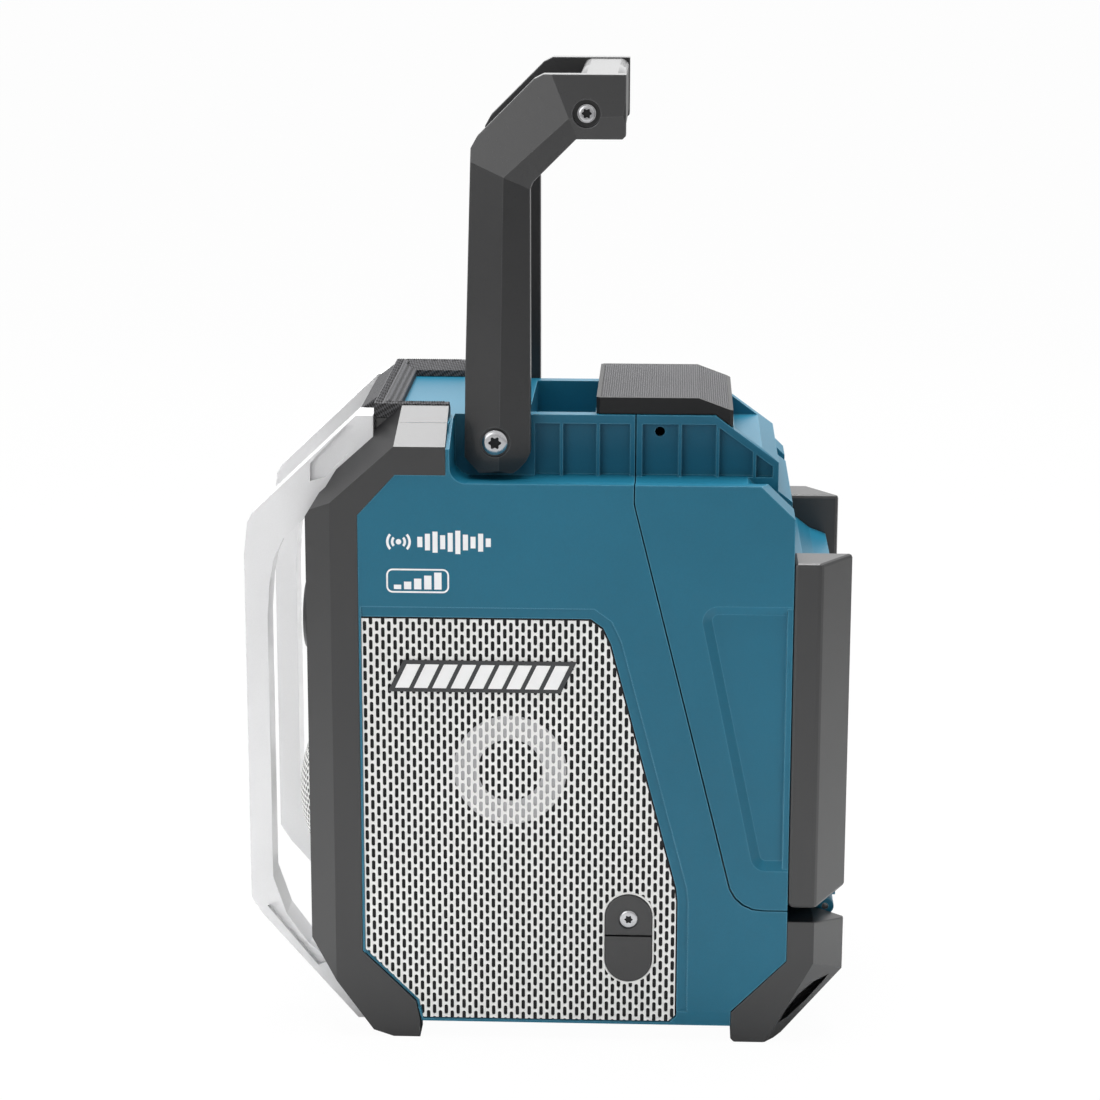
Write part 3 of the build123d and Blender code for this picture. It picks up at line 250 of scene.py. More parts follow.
# ring of spun aluminium, drawn non-metallic in light grey: its reflection is painted in, so it stays bright
# and even from every side
ringPaintedSheen = grained("aluminiumPaintedSheen", "#9d9d9f", "#b2b2b4", 0.45, 0.8, 0.01)


threadRise = 0.3  # mm that a thread or stud stands out


def woven(name, dark, light, pitch, turn):
    # two sets of raised threads that pass over each other; their tops take the light shade, a painted
    # highlight on rubber of one colour
    material, tree, shader = newMaterial(name, light, 0.72)
    coords = addNode(tree, "ShaderNodeTexCoord")
    turned = addNode(tree, "ShaderNodeMapping", {"Rotation": [math.radians(angle) for angle in turn]},
                     {"Vector": coords.outputs["Object"]})
    axes = addNode(tree, "ShaderNodeSeparateXYZ", None, {"Vector": turned.outputs["Vector"]})
    waves = []
    for axis in ("X", "Y"):
        phase = addNode(tree, "ShaderNodeMath", {"operation": "MULTIPLY", 1: 2 * math.pi / (pitch * mm)},
                        {0: axes.outputs[axis]})
        waves.append(addNode(tree, "ShaderNodeMath", {"operation": "SINE"}, {0: phase.outputs["Value"]}))
    weave = addNode(tree, "ShaderNodeMath", {"operation": "MULTIPLY"},
                    {0: waves[0].outputs["Value"], 1: waves[1].outputs["Value"]})
    shade = addNode(tree, "ShaderNodeMapRange", {"From Min": -0.5, "From Max": 0.5},
                    {"Value": weave.outputs["Value"]})
    ramp = addNode(tree, "ShaderNodeValToRGB", None, {"Fac": shade.outputs["Result"]})
    ramp.color_ramp.elements[0].color = linear(dark)
    ramp.color_ramp.elements[1].color = linear(light)
    tree.links.new(ramp.outputs["Color"], shader.inputs["Base Color"])
    bump = addNode(tree, "ShaderNodeBump", {"Strength": 0.8, "Distance": threadRise * mm},
                   {"Height": shade.outputs["Result"]})
    tree.links.new(bump.outputs["Normal"], shader.inputs["Normal"])
    return material


# rubber moulded with a woven pattern: small raised threads with a painted highlight on their tops
# pitch in mm, then the turn of the pattern; the rim's is tilted so that it shows on every face
padRubber = woven("wovenGrip", "#0c0c0d", "#626265", 1.4, (0, 0, 45))
rimRubber = woven("knurledRim", "#0a0a0b", "#4c4c4f", 1.5, (-30, -27, 45))

# tinted acrylic with a low gloss, so that the display reads through it
windowGlass, windowTree, windowShader = newMaterial("acrylicWindow", "#1a2023", 0.06, ior=1.15)
windowShader.inputs["Alpha"].default_value = 0.3
windowPlace = addNode(windowTree, "ShaderNodeTexCoord")
windowNoise = addNode(windowTree, "ShaderNodeTexNoise", {"Scale": 30.0},
                      {"Vector": windowPlace.outputs["Object"]})
windowRough = addNode(windowTree, "ShaderNodeMapRange", {"To Min": 0.04, "To Max": 0.09},
                      {"Value": windowNoise.outputs["Fac"]})
windowTree.links.new(windowRough.outputs["Result"], windowShader.inputs["Roughness"])
# reflective liquid-crystal panel: flat grey-green without gloss of its own
lcdGlass = grained("lcdPanel", "#66745f", "#76856f", 0.7, 1.5, 0.002, ior=1.3)
# painted highlights along the rounded edges of the blue casing and of the handle
paintEdgeHighlight(blueAbs, "#5f9db4", 0.8, 0.55)
paintEdgeHighlight(handleNylon, "#6a6a6c", 0.8, 0.5)
print("materials ready")

finishOf = {
    blueAbs: ["main_housing", "battery_door"],
    bumperRubber: ["left_front_bumper", "right_front_bumper", "left_door_bumper", "right_door_bumper",
                   "left_foot", "right_foot", "jack_cover", "jack_flap"],
    rimRubber: ["top_rim"],
    silverPaint: ["left_guard", "right_guard", "front_fascia"],
    powderCoat: ["left_grille", "right_grille", "woofer_grille"],
    handleNylon: ["left_arm", "right_arm", "handle_grip"],
    latchNylon: ["door_latch"],
    padRubber: ["latch_pad"],
    blackAbs: ["bay_liner", "left_baffle", "right_baffle", "dial_encoder", "dc_jack", "terminal_block"],
    zincSteel: ["jack_screw", "grip_screws", "pivot_bolts", "housing_screws", "door_hinge_pins", "latch_pin",
                "pivot_washers", "dial_shaft", "grip_tube"],
    conePaper: ["left_speaker_cone", "right_speaker_cone", "woofer_cone"],
    ferrite: ["left_speaker_magnet", "right_speaker_magnet", "woofer_magnet", "ferrite_antenna"],
    basketSteel: ["left_speaker_basket", "right_speaker_basket", "woofer_basket"],
    solderMask: ["main_board", "amplifier_board"],
    platePaint: ["left_badge", "right_badge"],
    keyRubber: ["power_key", "source_key", "preset_one_key", "preset_two_key", "preset_three_key"],
    dialAbs: ["tuning_dial"],
    windowGlass: ["display_window"],
    lcdGlass: ["display_module"],
}
for material, names in finishOf.items():
    for name in names:
        paint(nodes[name], material)

# edge radii of the moulded pieces, mm
edgeRadius = {
    "main_housing": 0.7, "battery_door": 0.7, "left_front_bumper": 1.0, "right_front_bumper": 1.0,
    "left_door_bumper": 1.6, "right_door_bumper": 1.6, "left_foot": 1.6, "right_foot": 1.6, "top_rim": 1.2,
    "left_guard": 1.5, "right_guard": 1.5, "front_fascia": 0.5, "left_arm": 0.9, "right_arm": 0.9,
    "handle_grip": 0.6, "door_latch": 0.6, "jack_cover": 0.4, "jack_flap": 0.4, "tuning_dial": 0.4,
}
weldReach = 0.01  # mm
flatAngle = 0.5   # faces this close to flat become one before the bevel, degrees
for name, radius in edgeRadius.items():
    node = nodes[name]
    weld = node.modifiers.new("weld", "WELD")
    weld.merge_threshold = weldReach * mm
    flat = node.modifiers.new("flat", "DECIMATE")
    flat.decimate_type = "DISSOLVE"
    flat.angle_limit = math.radians(flatAngle)
    bevelPiece(node, radius)
print("CAD nodes dressed")

# perforated side grilles
grille = {
    "pitchY": 2.67, "pitchZ": 5.66, "slotWide": 1.6, "sheet": 0.7, "rows": 34, "pairs": 27,
    "left": -80.3, "bottom": 8.7, "top": 195.2, "gap": 0.5, "slotCorner": 0.72, "joint": 0.02,
    "back": 0.55,  # middle of the sheet outwards of the node's inner face
    # straight edges of the outline, (y, z) along each edge with the sheet on its left
    "edges": [((19.8, 195.2), (25.2, 191.2)), ((25.2, 191.2), (28.7, 184.0)), ((28.7, 184.0), (58.3, 72.0)),
              ((58.3, 72.0), (59.0, 66.0)), ((59.0, 66.0), (59.0, 11.7)), ((59.0, 11.7), (55.8, 8.7))],
    # lower front corner, where the outline turns inwards: cut along both lines, then cleared below them
    "corner": [((-54.6, 8.7), (-56.4, 17.6)), ((-56.4, 17.6), (-80.3, 41.2))],
}


def beyondCorner(y, z):
    # outside the two lines of the lower front corner, mm
    low, high = grille["corner"]
    (y0, z0), (y1, z1) = low if z < low[1][1] else high
    return y < y0 + (z - z0) * (y1 - y0) / (z1 - z0)


def makeGrille(name):
    # a unit of two staggered columns, repeated along the side and trimmed to the outline
    columns = []
    for number in (0, 1):
        rows = grille["rows"]
        bpy.ops.mesh.primitive_grid_add(x_subdivisions=1, y_subdivisions=rows, size=1)
        strip = bpy.context.object
        strip.scale = (grille["pitchY"] * mm, rows * grille["pitchZ"] * mm, 1)
        settle(strip)
        selectFaces(strip, lambda face: True)
        bpy.ops.mesh.inset(thickness=(grille["pitchY"] - grille["slotWide"]) / 2 * mm, use_individual=True)
        bpy.ops.mesh.bevel(offset=grille["slotCorner"] * mm, segments=2, affect="VERTICES")
        bpy.ops.object.mode_set(mode="OBJECT")
        # the rounded slots are the only faces with more than eight corners
        slots = {face.index for face in strip.data.polygons if len(face.vertices) > 8}
        selectFaces(strip, lambda face: face.index in slots)
        bpy.ops.mesh.delete(type="FACE")
        bpy.ops.object.mode_set(mode="OBJECT")
        strip.rotation_euler = (math.radians(90), 0, math.radians(90))
        middle = grille["bottom"] + rows * grille["pitchZ"] / 2 - (number + 0.5) * grille["pitchZ"] / 2
        strip.location = (0, (grille["left"] + (number + 0.5) * grille["pitchY"]) * mm, middle * mm)
        settle(strip)
        columns.append(strip)
    piece = joinAll(columns, name)
    columnRow = repeatPiece(piece, grille["pairs"], (0, 2 * grille["pitchY"] * mm, 0))
    columnRow.use_merge_vertices = True
    columnRow.merge_threshold = grille["joint"] * mm
    applyModifiers(piece)
    bpy.ops.object.mode_set(mode="EDIT")
    left, top, bottom = grille["left"], grille["top"], grille["bottom"]
    trims = [((left, top), (0, top)), ((0, bottom), (left, bottom))]
    for edge in trims + grille["edges"] + grille["corner"]:
        (y0, z0), (y1, z1) = edge
        length = math.hypot(y1 - y0, z1 - z0)
        outwards = ((z0 - z1) / length, (y1 - y0) / length)
        gap = 0 if edge in grille["corner"] else grille["gap"]
        bpy.ops.mesh.select_all(action="SELECT")
        bpy.ops.mesh.bisect(plane_co=(0, (y0 - gap * outwards[0]) * mm, (z0 - gap * outwards[1]) * mm),
                            plane_no=(0, *outwards), clear_outer=edge not in grille["corner"])
    selectFaces(piece, lambda face: beyondCorner(face.center.y / mm, face.center.z / mm))
    bpy.ops.mesh.delete(type="FACE")
    bpy.ops.object.mode_set(mode="OBJECT")
    return piece


# rounded slot around the jack cover, as the flat sides of a many-sided outline
jackCut = {"y": 37.5, "z": 48.5, "half": 10.0, "radius": 10.9, "sides": 32, "near": 5.0}


def jackSides():
    # the middle of the round end and the outward direction of each flat side
    for number in range(jackCut["sides"]):
        angle = 2 * math.pi * number / jackCut["sides"]
        end = jackCut["z"] + (jackCut["half"] if angle < math.pi else -jackCut["half"])
        yield jackCut["y"], end, math.cos(angle), math.sin(angle)


def pastJackSide(y, z):
    # how far a point lies outside the slot, mm
    return max((y - y0) * outY + (z - z0) * outZ for y0, z0, outY, outZ in jackSides()) - jackCut["radius"]


def nearJack(face):
    # faces close enough to the slot to be cut
    reach = jackCut["radius"] + jackCut["near"]
    return (abs(face.center.y / mm - jackCut["y"]) < reach
            and abs(face.center.z / mm - jackCut["z"]) < reach + jackCut["half"])


def inJackSlot(face):
    return nearJack(face) and pastJackSide(face.center.y / mm, face.center.z / mm) < 0


def cutJackSlot(piece):
    for y0, z0, outY, outZ in jackSides():
        selectFaces(piece, nearJack)
        onSide = (0, (y0 + jackCut["radius"] * outY) * mm, (z0 + jackCut["radius"] * outZ) * mm)
        bpy.ops.mesh.bisect(plane_co=onSide, plane_no=(0, outY, outZ))
        bpy.ops.object.mode_set(mode="OBJECT")
    selectFaces(piece, inJackSlot)
    bpy.ops.mesh.delete(type="FACE")
    bpy.ops.object.mode_set(mode="OBJECT")


for side, sign in (("left", -1), ("right", 1)):
    node = side + "_grille"
    sheetIn = abs(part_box(node)[0].x) if sign > 0 else abs(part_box(node)[1].x)
    piece = makeGrille(side + "PerforatedGrille")
    # one flat sheet, before the cut and the thickness
    for vertex in piece.data.vertices:
        vertex.co.x = 0.0
    if sign > 0:
        cutJackSlot(piece)
    thick = piece.modifiers.new("sheet", "SOLIDIFY")
    thick.thickness = grille["sheet"] * mm
    thick.offset = 0
    applyModifiers(piece)
    piece.location.x = sign * (sheetIn + grille["back"] * mm)
    settle(piece)
    paint(piece, powderCoat)
    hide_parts(node)
    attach(piece, "casing")
    print(piece.name, len(piece.data.polygons))

# shapes shared by the small pieces
faceTurn = {
    "right": (math.radians(90), 0, math.radians(90)),
    "left": (math.radians(90), 0, math.radians(-90)),
    "front": (math.radians(90), 0, 0),
    "slope": (math.radians(45), 0, 0),
}


def outlinePlate(name, points, depth, soften=0.0):
    # flat plate: a filled ring whose corners are set to the outline, then drawn out
    deselectAll()
    bpy.ops.mesh.primitive_circle_add(vertices=len(points), radius=1, fill_type="NGON")
    piece = bpy.context.object
    piece.name = name
    for vertex, (across, up) in zip(piece.data.vertices, points):
        vertex.co = (across * mm, up * mm, 0)
    bpy.ops.object.mode_set(mode="EDIT")
    bpy.ops.mesh.select_all(action="SELECT")
    bpy.ops.mesh.extrude_region_move(TRANSFORM_OT_translate={"value": (0, 0, depth * mm)})
    bpy.ops.mesh.select_all(action="SELECT")
    bpy.ops.mesh.normals_make_consistent(inside=False)
    bpy.ops.object.mode_set(mode="OBJECT")
    if soften:
        bevelPiece(piece, soften)
        applyModifiers(piece)
    return piece


def ringPlate(name, outer, inner, depth, start=0, stop=360, steps=40):
    # flat ring or an arc of one, drawn out
    span = math.radians(stop - start)
    angles = [math.radians(start) + span * i / steps for i in range(steps + 1)]
    points = [(outer * math.cos(a), outer * math.sin(a)) for a in angles]
    points += [(inner * math.cos(a), inner * math.sin(a)) for a in reversed(angles)]
    return outlinePlate(name, points, depth)


def roundedBox(wide, tall, radius, steps=5):
    # corner points of a rounded rectangle about its middle
    points = []
    for quarter, (sx, sy) in enumerate(((1, 1), (-1, 1), (-1, -1), (1, -1))):
        for i in range(steps + 1):
            a = math.radians(90 * quarter + 90 * i / steps)
            points.append((sx * (wide / 2 - radius) + radius * math.cos(a),
                           sy * (tall / 2 - radius) + radius * math.sin(a)))
    return points


def leaningPlate(name, low, high, rise, lean, depth, soften=0.0):
    # a plate from low to high whose ends lean, rise above and below the middle
    corners = [(low - lean, -rise), (high - lean, -rise), (high + lean, rise), (low + lean, rise)]
    return outlinePlate(name, corners, depth, soften)


def uprightPlate(name, low, high, foot, head, depth):
    return outlinePlate(name, [(low, foot), (high, foot), (high, head), (low, head)], depth)


def place(piece, face, at):
    # turn a piece from the drawing plane onto a side of the object
    piece.rotation_euler = faceTurn[face]
    piece.location = [value * mm for value in at]
    settle(piece)


def dress(piece, material, slot, body, *hidden):
    # finish, slot (not used), body and the CAD nodes that the piece replaces
    paint(piece, material)
    if hidden:
        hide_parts(*hidden)
    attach(piece, body)


def smooth(piece, angle=35):
    pick(piece)
    bpy.ops.object.shade_smooth_by_angle(angle=math.radians(angle))

# painted shade and painted sheen behind each side grille: a black sheet for the shade inside the casing, and
# a bright ring
shadeSheet = {"from": 78.01, "depth": 0.04,
         "outline": [(-80.4, 41.2), (-80.4, 195.4), (19.9, 195.4), (25.4, 191.4), (28.9, 184.0), (58.5, 72.0),
                     (59.2, 66.0), (59.2, 11.7), (55.9, 8.6), (-54.4, 8.6), (-56.3, 17.7)]}
speakerRing = {"y": -15.4, "z": 126.0, "x": 78.08, "depth": 0.2, "outer": 25.0, "inner": 14.2}
jackHole = {"y": 37.5, "z": 38.5, "radius": 7.5, "depth": 10.0}


def openJackHole(piece):
    # round hole in front of the power socket
    middle = (shadeSheet["from"] * mm, jackHole["y"] * mm, jackHole["z"] * mm)
    bpy.ops.mesh.primitive_cylinder_add(vertices=48, radius=jackHole["radius"] * mm,
                                        depth=jackHole["depth"] * mm, rotation=(0, math.radians(90), 0),
                                        location=middle)
    drill = bpy.context.object
    hole = piece.modifiers.new("hole", "BOOLEAN")
    hole.operation = "DIFFERENCE"
    hole.object = drill
    applyModifiers(piece)
    bpy.data.objects.remove(drill)


# painted shade: flat black that takes nearly all the light, for the dark inside seen through slots and
# recesses
shadeBlack = grained("shadeBlack", "#131314", "#1c1c1e", 0.85, 0.25, 0.04)
for side, sign in (("left", -1), ("right", 1)):
    outline = [(sign * y, z) for y, z in shadeSheet["outline"]]
    sheet = outlinePlate(side + "ShadeSheet", outline, shadeSheet["depth"])
    place(sheet, side, (sign * shadeSheet["from"], 0, 0))
    if sign > 0:
        openJackHole(sheet)
    dress(sheet, shadeBlack, "inner_black", "casing")
    ring = ringPlate(side + "SpeakerRing", speakerRing["outer"], speakerRing["inner"], speakerRing["depth"],
                     0, 359.9, 72)
    place(ring, side, (sign * speakerRing["x"], speakerRing["y"], speakerRing["z"]))
    dress(ring, ringPaintedSheen, "speaker_steel", "casing")
# the black sheets behind the grilles are painted shade
print("speaker cloth and rings")

# knurl on the top of the rim
knurl = {"pitch": 1.42, "wide": 1.24, "tall": 0.42, "top": 286.0,
         # fields of studs: x from, x to, y from, y to
         "fields": [(-54.8, 54.8, -75.4, -71.4), (51.6, 54.8, -71.2, -44.2), (-54.8, -51.6, -71.2, -44.2)]}
studFields = []
for xFrom, xTo, yFrom, yTo in knurl["fields"]:
    deselectAll()
    bpy.ops.mesh.primitive_cone_add(vertices=4, radius1=knurl["wide"] / 2 * mm,
                                    radius2=knurl["wide"] / 8 * mm, depth=knurl["tall"] * mm)
    stud = bpy.context.object
    # the underside is cut away
    selectFaces(stud, lambda face: face.normal.z < -0.9)
    bpy.ops.mesh.delete(type="FACE")
    bpy.ops.object.mode_set(mode="OBJECT")
    pitch = knurl["pitch"] / math.sqrt(2)
    stud.location = ((xFrom + pitch / 2) * mm, (yFrom + pitch / 2) * mm,
                     (knurl["top"] + knurl["tall"] / 2) * mm)
    settle(stud)
    repeatPiece(stud, int((xTo - xFrom) / pitch), (pitch * mm, 0, 0))
    repeatPiece(stud, int((yTo - yFrom) / pitch), (0, pitch * mm, 0))
    applyModifiers(stud)
    studFields.append(stud)
rimKnurl = joinAll(studFields, "rimKnurl")
dress(rimKnurl, rimRubber, "knurled_rubber", "casing")
print("knurl", len(rimKnurl.data.polygons))

# screw heads with a six-lobe recess, each with a painted shadow: a dark disc on the recess floor
screwHeads = {
    # piece: side, head centre (x, y, z), head radius, height, recess radius
    "rightPivotScrew": ("right", (55.3, -23.0, 269.0), 5.7, 2.6, 2.9),
    "leftPivotScrew": ("left", (-55.3, -23.0, 269.0), 5.7, 2.6, 2.9),
    "rightGripScrew": ("right", (51.8, 16.5, 412.0), 4.2, 2.3, 2.2),
    "leftGripScrew": ("left", (-51.8, 16.5, 412.0), 4.2, 2.3, 2.2),
    "jackScrewHead": ("right", (78.3, 37.5, 57.5), 4.2, 1.6, 1.9),
}


# share of the height and width after each step: skirt, rounded shoulder, then the flat land
screwSteps = ((0.45, 1.0), (0.28, 0.96), (0.17, 0.86), (0.08, 0.74))
screwRecess = {"lobes": 6, "wave": 0.15, "deep": 0.6, "taper": 0.86, "landRise": 0.02, "land": 0.06,
               "floor": 0.42, "shadowWide": 2.1, "shadowThick": 0.1}


def makeScrewHead(name, side, at, radius, height, recess):
    deselectAll()
    bpy.ops.mesh.primitive_circle_add(vertices=48, radius=radius * mm, fill_type="NGON")
    head = bpy.context.object
    head.name = name
    bpy.ops.object.mode_set(mode="EDIT")
    bpy.ops.mesh.select_all(action="SELECT")
    size = 1.0
    for rise, part in (*screwSteps, (screwRecess["landRise"], recess / radius + screwRecess["land"])):
        bpy.ops.mesh.extrude_region_move(TRANSFORM_OT_translate={"value": (0, 0, rise * height * mm)})
        bpy.ops.transform.resize(value=(part / size, part / size, 1))
        size = part
    bpy.ops.mesh.extrude_region_move(TRANSFORM_OT_translate={"value": (0, 0, 0)})
    bpy.ops.object.mode_set(mode="OBJECT")
    for vertex in [v for v in head.data.vertices if v.select]:
        angle = math.atan2(vertex.co.y, vertex.co.x)
        lobe = recess * (1 - screwRecess["wave"] * (1 - math.cos(screwRecess["lobes"] * angle))) * mm
        vertex.co.x = lobe * math.cos(angle)
        vertex.co.y = lobe * math.sin(angle)
    bpy.ops.object.mode_set(mode="EDIT")
    sunk = (0, 0, -screwRecess["deep"] * height * mm)
    bpy.ops.mesh.extrude_region_move(TRANSFORM_OT_translate={"value": sunk})
    bpy.ops.transform.resize(value=(screwRecess["taper"], screwRecess["taper"], 1))
    bpy.ops.mesh.select_all(action="SELECT")
    bpy.ops.mesh.normals_make_consistent(inside=False)
    bpy.ops.object.mode_set(mode="OBJECT")
    place(head, side, at)
    smooth(head, 30)
    return head


for name, (side, at, radius, height, recess) in screwHeads.items():
    head = makeScrewHead(name, side, at, radius, height, recess)
    body = "handle" if "Grip" in name else "casing"
    hidden = ["jack_screw"] if "jack" in name else []
    dress(head, zincSteel, "plated_steel", body, *hidden)
    # painted shadow: a dark disc on the floor of the recess
    wide = screwRecess["shadowWide"] * recess
    recessShadow = outlinePlate(name + "Recess", roundedBox(wide, wide, recess), screwRecess["shadowThick"])
    place(recessShadow, side, (at[0] + math.copysign(screwRecess["floor"] * height, at[0]), at[1], at[2]))
    dress(recessShadow, shadeBlack, "inner_black", body)

# raised rim of the sheet around the jack cover
jackRim = {"x": 78.4, "outer": 11.45, "inner": 10.65, "depth": 0.95, "steps": 24, "soften": 0.25}
rimLoops = []
for radius in (jackRim["outer"], jackRim["inner"]):
    loop = []
    for number in range(2 * jackRim["steps"] + 2):
        end = 1 if number <= jackRim["steps"] else -1
        angle = math.pi * (number - (0 if end > 0 else 1)) / jackRim["steps"]
        loop.append((radius * math.cos(angle), end * jackCut["half"] + radius * math.sin(angle)))
    rimLoops.append(loop + [loop[0]])
jackRimPlate = outlinePlate("jackRim", rimLoops[0] + list(reversed(rimLoops[1])), jackRim["depth"],
                            jackRim["soften"])
place(jackRimPlate, "right", (jackRim["x"], jackCut["y"], jackCut["z"]))
dress(jackRimPlate, powderCoat, "grille_steel", "casing")
print("screw heads")

# badge: dark slanted plate with white slanted bars, no lettering
badge = {"y": -27.5, "z": 169.0, "wide": 76.0, "tall": 14.4, "lean": 2.6, "depth": 0.4, "from": 79.2,
         "bars": 9, "barWide": 6.1, "barTall": 10.8, "pitch": 8.15, "raise": 0.45,
         "sunk": 0.1, "soften": 0.15}
for side, sign in (("left", -1), ("right", 1)):
    half = badge["wide"] / 2
    plate = leaningPlate(side + "BadgePlate", -half, half, badge["tall"] / 2,
                         badge["lean"] * badge["tall"] / badge["barTall"], badge["depth"], badge["soften"])
    place(plate, side, (sign * badge["from"], badge["y"], badge["z"]))
    dress(plate, platePaint, "badge_plate", "casing", side + "_badge")
    parts = []
    for number in range(badge["bars"]):
        middle = (number - (badge["bars"] - 1) / 2) * badge["pitch"]
        parts.append(leaningPlate("bar", middle - badge["barWide"] / 2, middle + badge["barWide"] / 2,
                                  badge["barTall"] / 2, badge["lean"], badge["raise"], badge["soften"]))
    mark = joinAll(parts, side + "BadgeBars")
    place(mark, side, (sign * (badge["from"] + badge["depth"] - badge["sunk"]), badge["y"], badge["z"]))
    dress(mark, whitePrint, "badge_plate", "casing")
print("badges")

# printed pictograms on the blue side: radio waves, level bars and a signal meter, no lettering
pictogram = {
    "x": 79.58, "depth": 0.04, "waveZ": 229.4, "meterY": -55.4, "meterZ": 212.0,
    "waveY": {"left": -27.6, "right": -63.6}, "disc": 1.2, "arcs": (3.3, 5.4), "arcWide": 1.1,
    "levels": (4.6, 7.4, 9.4, 6.2, 8.4, 10.4, 7.0, 5.2, 8.0, 3.8), "levelFrom": 8.2, "levelWide": 2.2,
    "levelPitch": 3.3, "boxWide": 27.4, "boxTall": 10.8, "corner": 2.8, "line": 0.75,
    "steps": (2.0, 3.4, 4.8, 6.2, 7.6), "stepFrom": -10.4, "stepWide": 3.2, "stepPitch": 4.4, "stepFoot": 1.6,
}
pinHole = 0.02     # a disc is a ring with this inner radius
waveSpan = 84      # degrees of each arc of a radio wave
waveStarts = (-42, 138)


def waveArcs(outers, wide, depth, steps):
    return [ringPlate("arc", outer, outer - wide, depth, start, start + waveSpan, steps)
            for outer in outers for start in waveStarts]


for side, sign in (("left", -1), ("right", 1)):
    parts = [ringPlate("disc", pictogram["disc"], pinHole, pictogram["depth"])]
    parts += waveArcs(pictogram["arcs"], pictogram["arcWide"], pictogram["depth"], 16)
    for number, tall in enumerate(pictogram["levels"]):
        low = pictogram["levelFrom"] + number * pictogram["levelPitch"]
        parts.append(uprightPlate("level", low, low + pictogram["levelWide"], -tall / 2, tall / 2,
                                  pictogram["depth"]))
    wave = joinAll(parts, side + "WaveSymbol")
    place(wave, side, (sign * pictogram["x"], pictogram["waveY"][side], pictogram["waveZ"]))
    dress(wave, whitePrint, "badge_plate", "casing")
    line, corner = pictogram["line"], pictogram["corner"]
    frameOuter = roundedBox(pictogram["boxWide"], pictogram["boxTall"], corner)
    frameInner = roundedBox(pictogram["boxWide"] - 2 * line, pictogram["boxTall"] - 2 * line, corner - line)
    ends = [frameOuter[0], frameInner[0]]
    parts = [outlinePlate("box", frameOuter + ends + list(reversed(frameInner)), pictogram["depth"])]
    foot = pictogram["stepFoot"] - pictogram["boxTall"] / 2
    for number, tall in enumerate(pictogram["steps"]):
        low = pictogram["stepFrom"] + number * pictogram["stepPitch"]
        parts.append(uprightPlate("step", low, low + pictogram["stepWide"], foot, foot + tall,
                                  pictogram["depth"]))
    meter = joinAll(parts, side + "MeterSymbol")
    place(meter, side, (sign * pictogram["x"], pictogram["meterY"], pictogram["meterZ"]))
    dress(meter, whitePrint, "badge_plate", "casing")
print("pictograms")

# front panel: symbols on the keys, mark on the dial, content of the display
keyMark = {
    "y": -104.82, "z": 213.0, "depth": 0.04, "powerX": -32.0, "sourceX": -16.0,
    "ring": (2.9, 2.3, 125, 415), "stroke": (-0.3, 0.3, 0.6, 3.6),
    "chevrons": (-1.6, 1.2),
    "chevron": [(-1.0, -2.2), (-0.2, -2.2), (1.4, 0), (-0.2, 2.2), (-1.0, 2.2), (0.6, 0)],
    # key: x of its middle, dots it carries
    "dots": {"preset_one": (0.0, 1), "preset_two": (16.0, 2), "preset_three": (32.0, 3)},
    "dot": 0.75, "dotPitch": 2.2,
}


def markKey(parts, name, key, across):
    mark = joinAll(parts, name)
    place(mark, "front", (across, keyMark["y"], keyMark["z"]))
    dress(mark, whitePrint, "badge_plate", key + "_key_body")


outer, inner, start, stop = keyMark["ring"]
powerParts = [ringPlate("arc", outer, inner, keyMark["depth"], start, stop, 30),
              uprightPlate("stroke", *keyMark["stroke"], keyMark["depth"])]
markKey(powerParts, "powerMark", "power", keyMark["powerX"])
sourceParts = []
for shift in keyMark["chevrons"]:
    corners = [(shift + across, up) for across, up in keyMark["chevron"]]
    sourceParts.append(outlinePlate("chevron", corners, keyMark["depth"]))
markKey(sourceParts, "sourceMark", "source", keyMark["sourceX"])
for key, (across, dots) in keyMark["dots"].items():
    parts = []
    for number in range(dots):
        dot = ringPlate("dot", keyMark["dot"], pinHole, keyMark["depth"], 0, 359.9, 20)
        dot.location = ((number - (dots - 1) / 2) * keyMark["dotPitch"] * mm, 0, 0)
        settle(dot)
        parts.append(dot)
    markKey(parts, key + "Mark", key, across)
dialLine = {"at": (0, -114.02, 176.0), "half": 0.7, "from": 9.0, "to": 14.6, "depth": 0.05}
dialMark = uprightPlate("dialMark", -dialLine["half"], dialLine["half"], dialLine["from"], dialLine["to"],
                        dialLine["depth"])
place(dialMark, "front", dialLine["at"])
dress(dialMark, whitePrint, "badge_plate", "dial")

# printed liquid-crystal segments: matt and nearly black
lcdInk = grained("lcdInk", "#0c0f0c", "#121612", 0.7, 0.4, 0.002, ior=1.3)
display = {
    "at": (0, -89.41, 249.46), "depth": 0.05,
    "ticks": 29, "tickPitch": 2.0, "tickHalf": 0.3, "tickFoot": -7.0, "tickTall": (2.6, 1.5, 1.5, 1.5),
    "pointerTick": 11, "pointer": [(-1.1, -1.6), (0, -3.6), (1.1, -1.6)],
    "levels": 9, "levelFrom": 12.0, "levelPitch": 1.9, "levelWide": 1.2, "levelFoot": 0.6, "levelTall": 1.4,
    "levelRise": 0.6, "arcs": (2.2, 3.8), "arcWide": 0.7, "arcAt": (-24.0, 3.6),
}
parts = []
firstTick = -(display["ticks"] - 1) / 2 * display["tickPitch"]
for number in range(display["ticks"]):
    at = firstTick + number * display["tickPitch"]
    tall = display["tickTall"][number % 4]
    parts.append(uprightPlate("tick", at - display["tickHalf"], at + display["tickHalf"], display["tickFoot"],
                              display["tickFoot"] + tall, display["depth"]))
at = firstTick + display["pointerTick"] * display["tickPitch"]
corners = [(at + across, up) for across, up in display["pointer"]]
parts.append(outlinePlate("pointer", corners, display["depth"]))
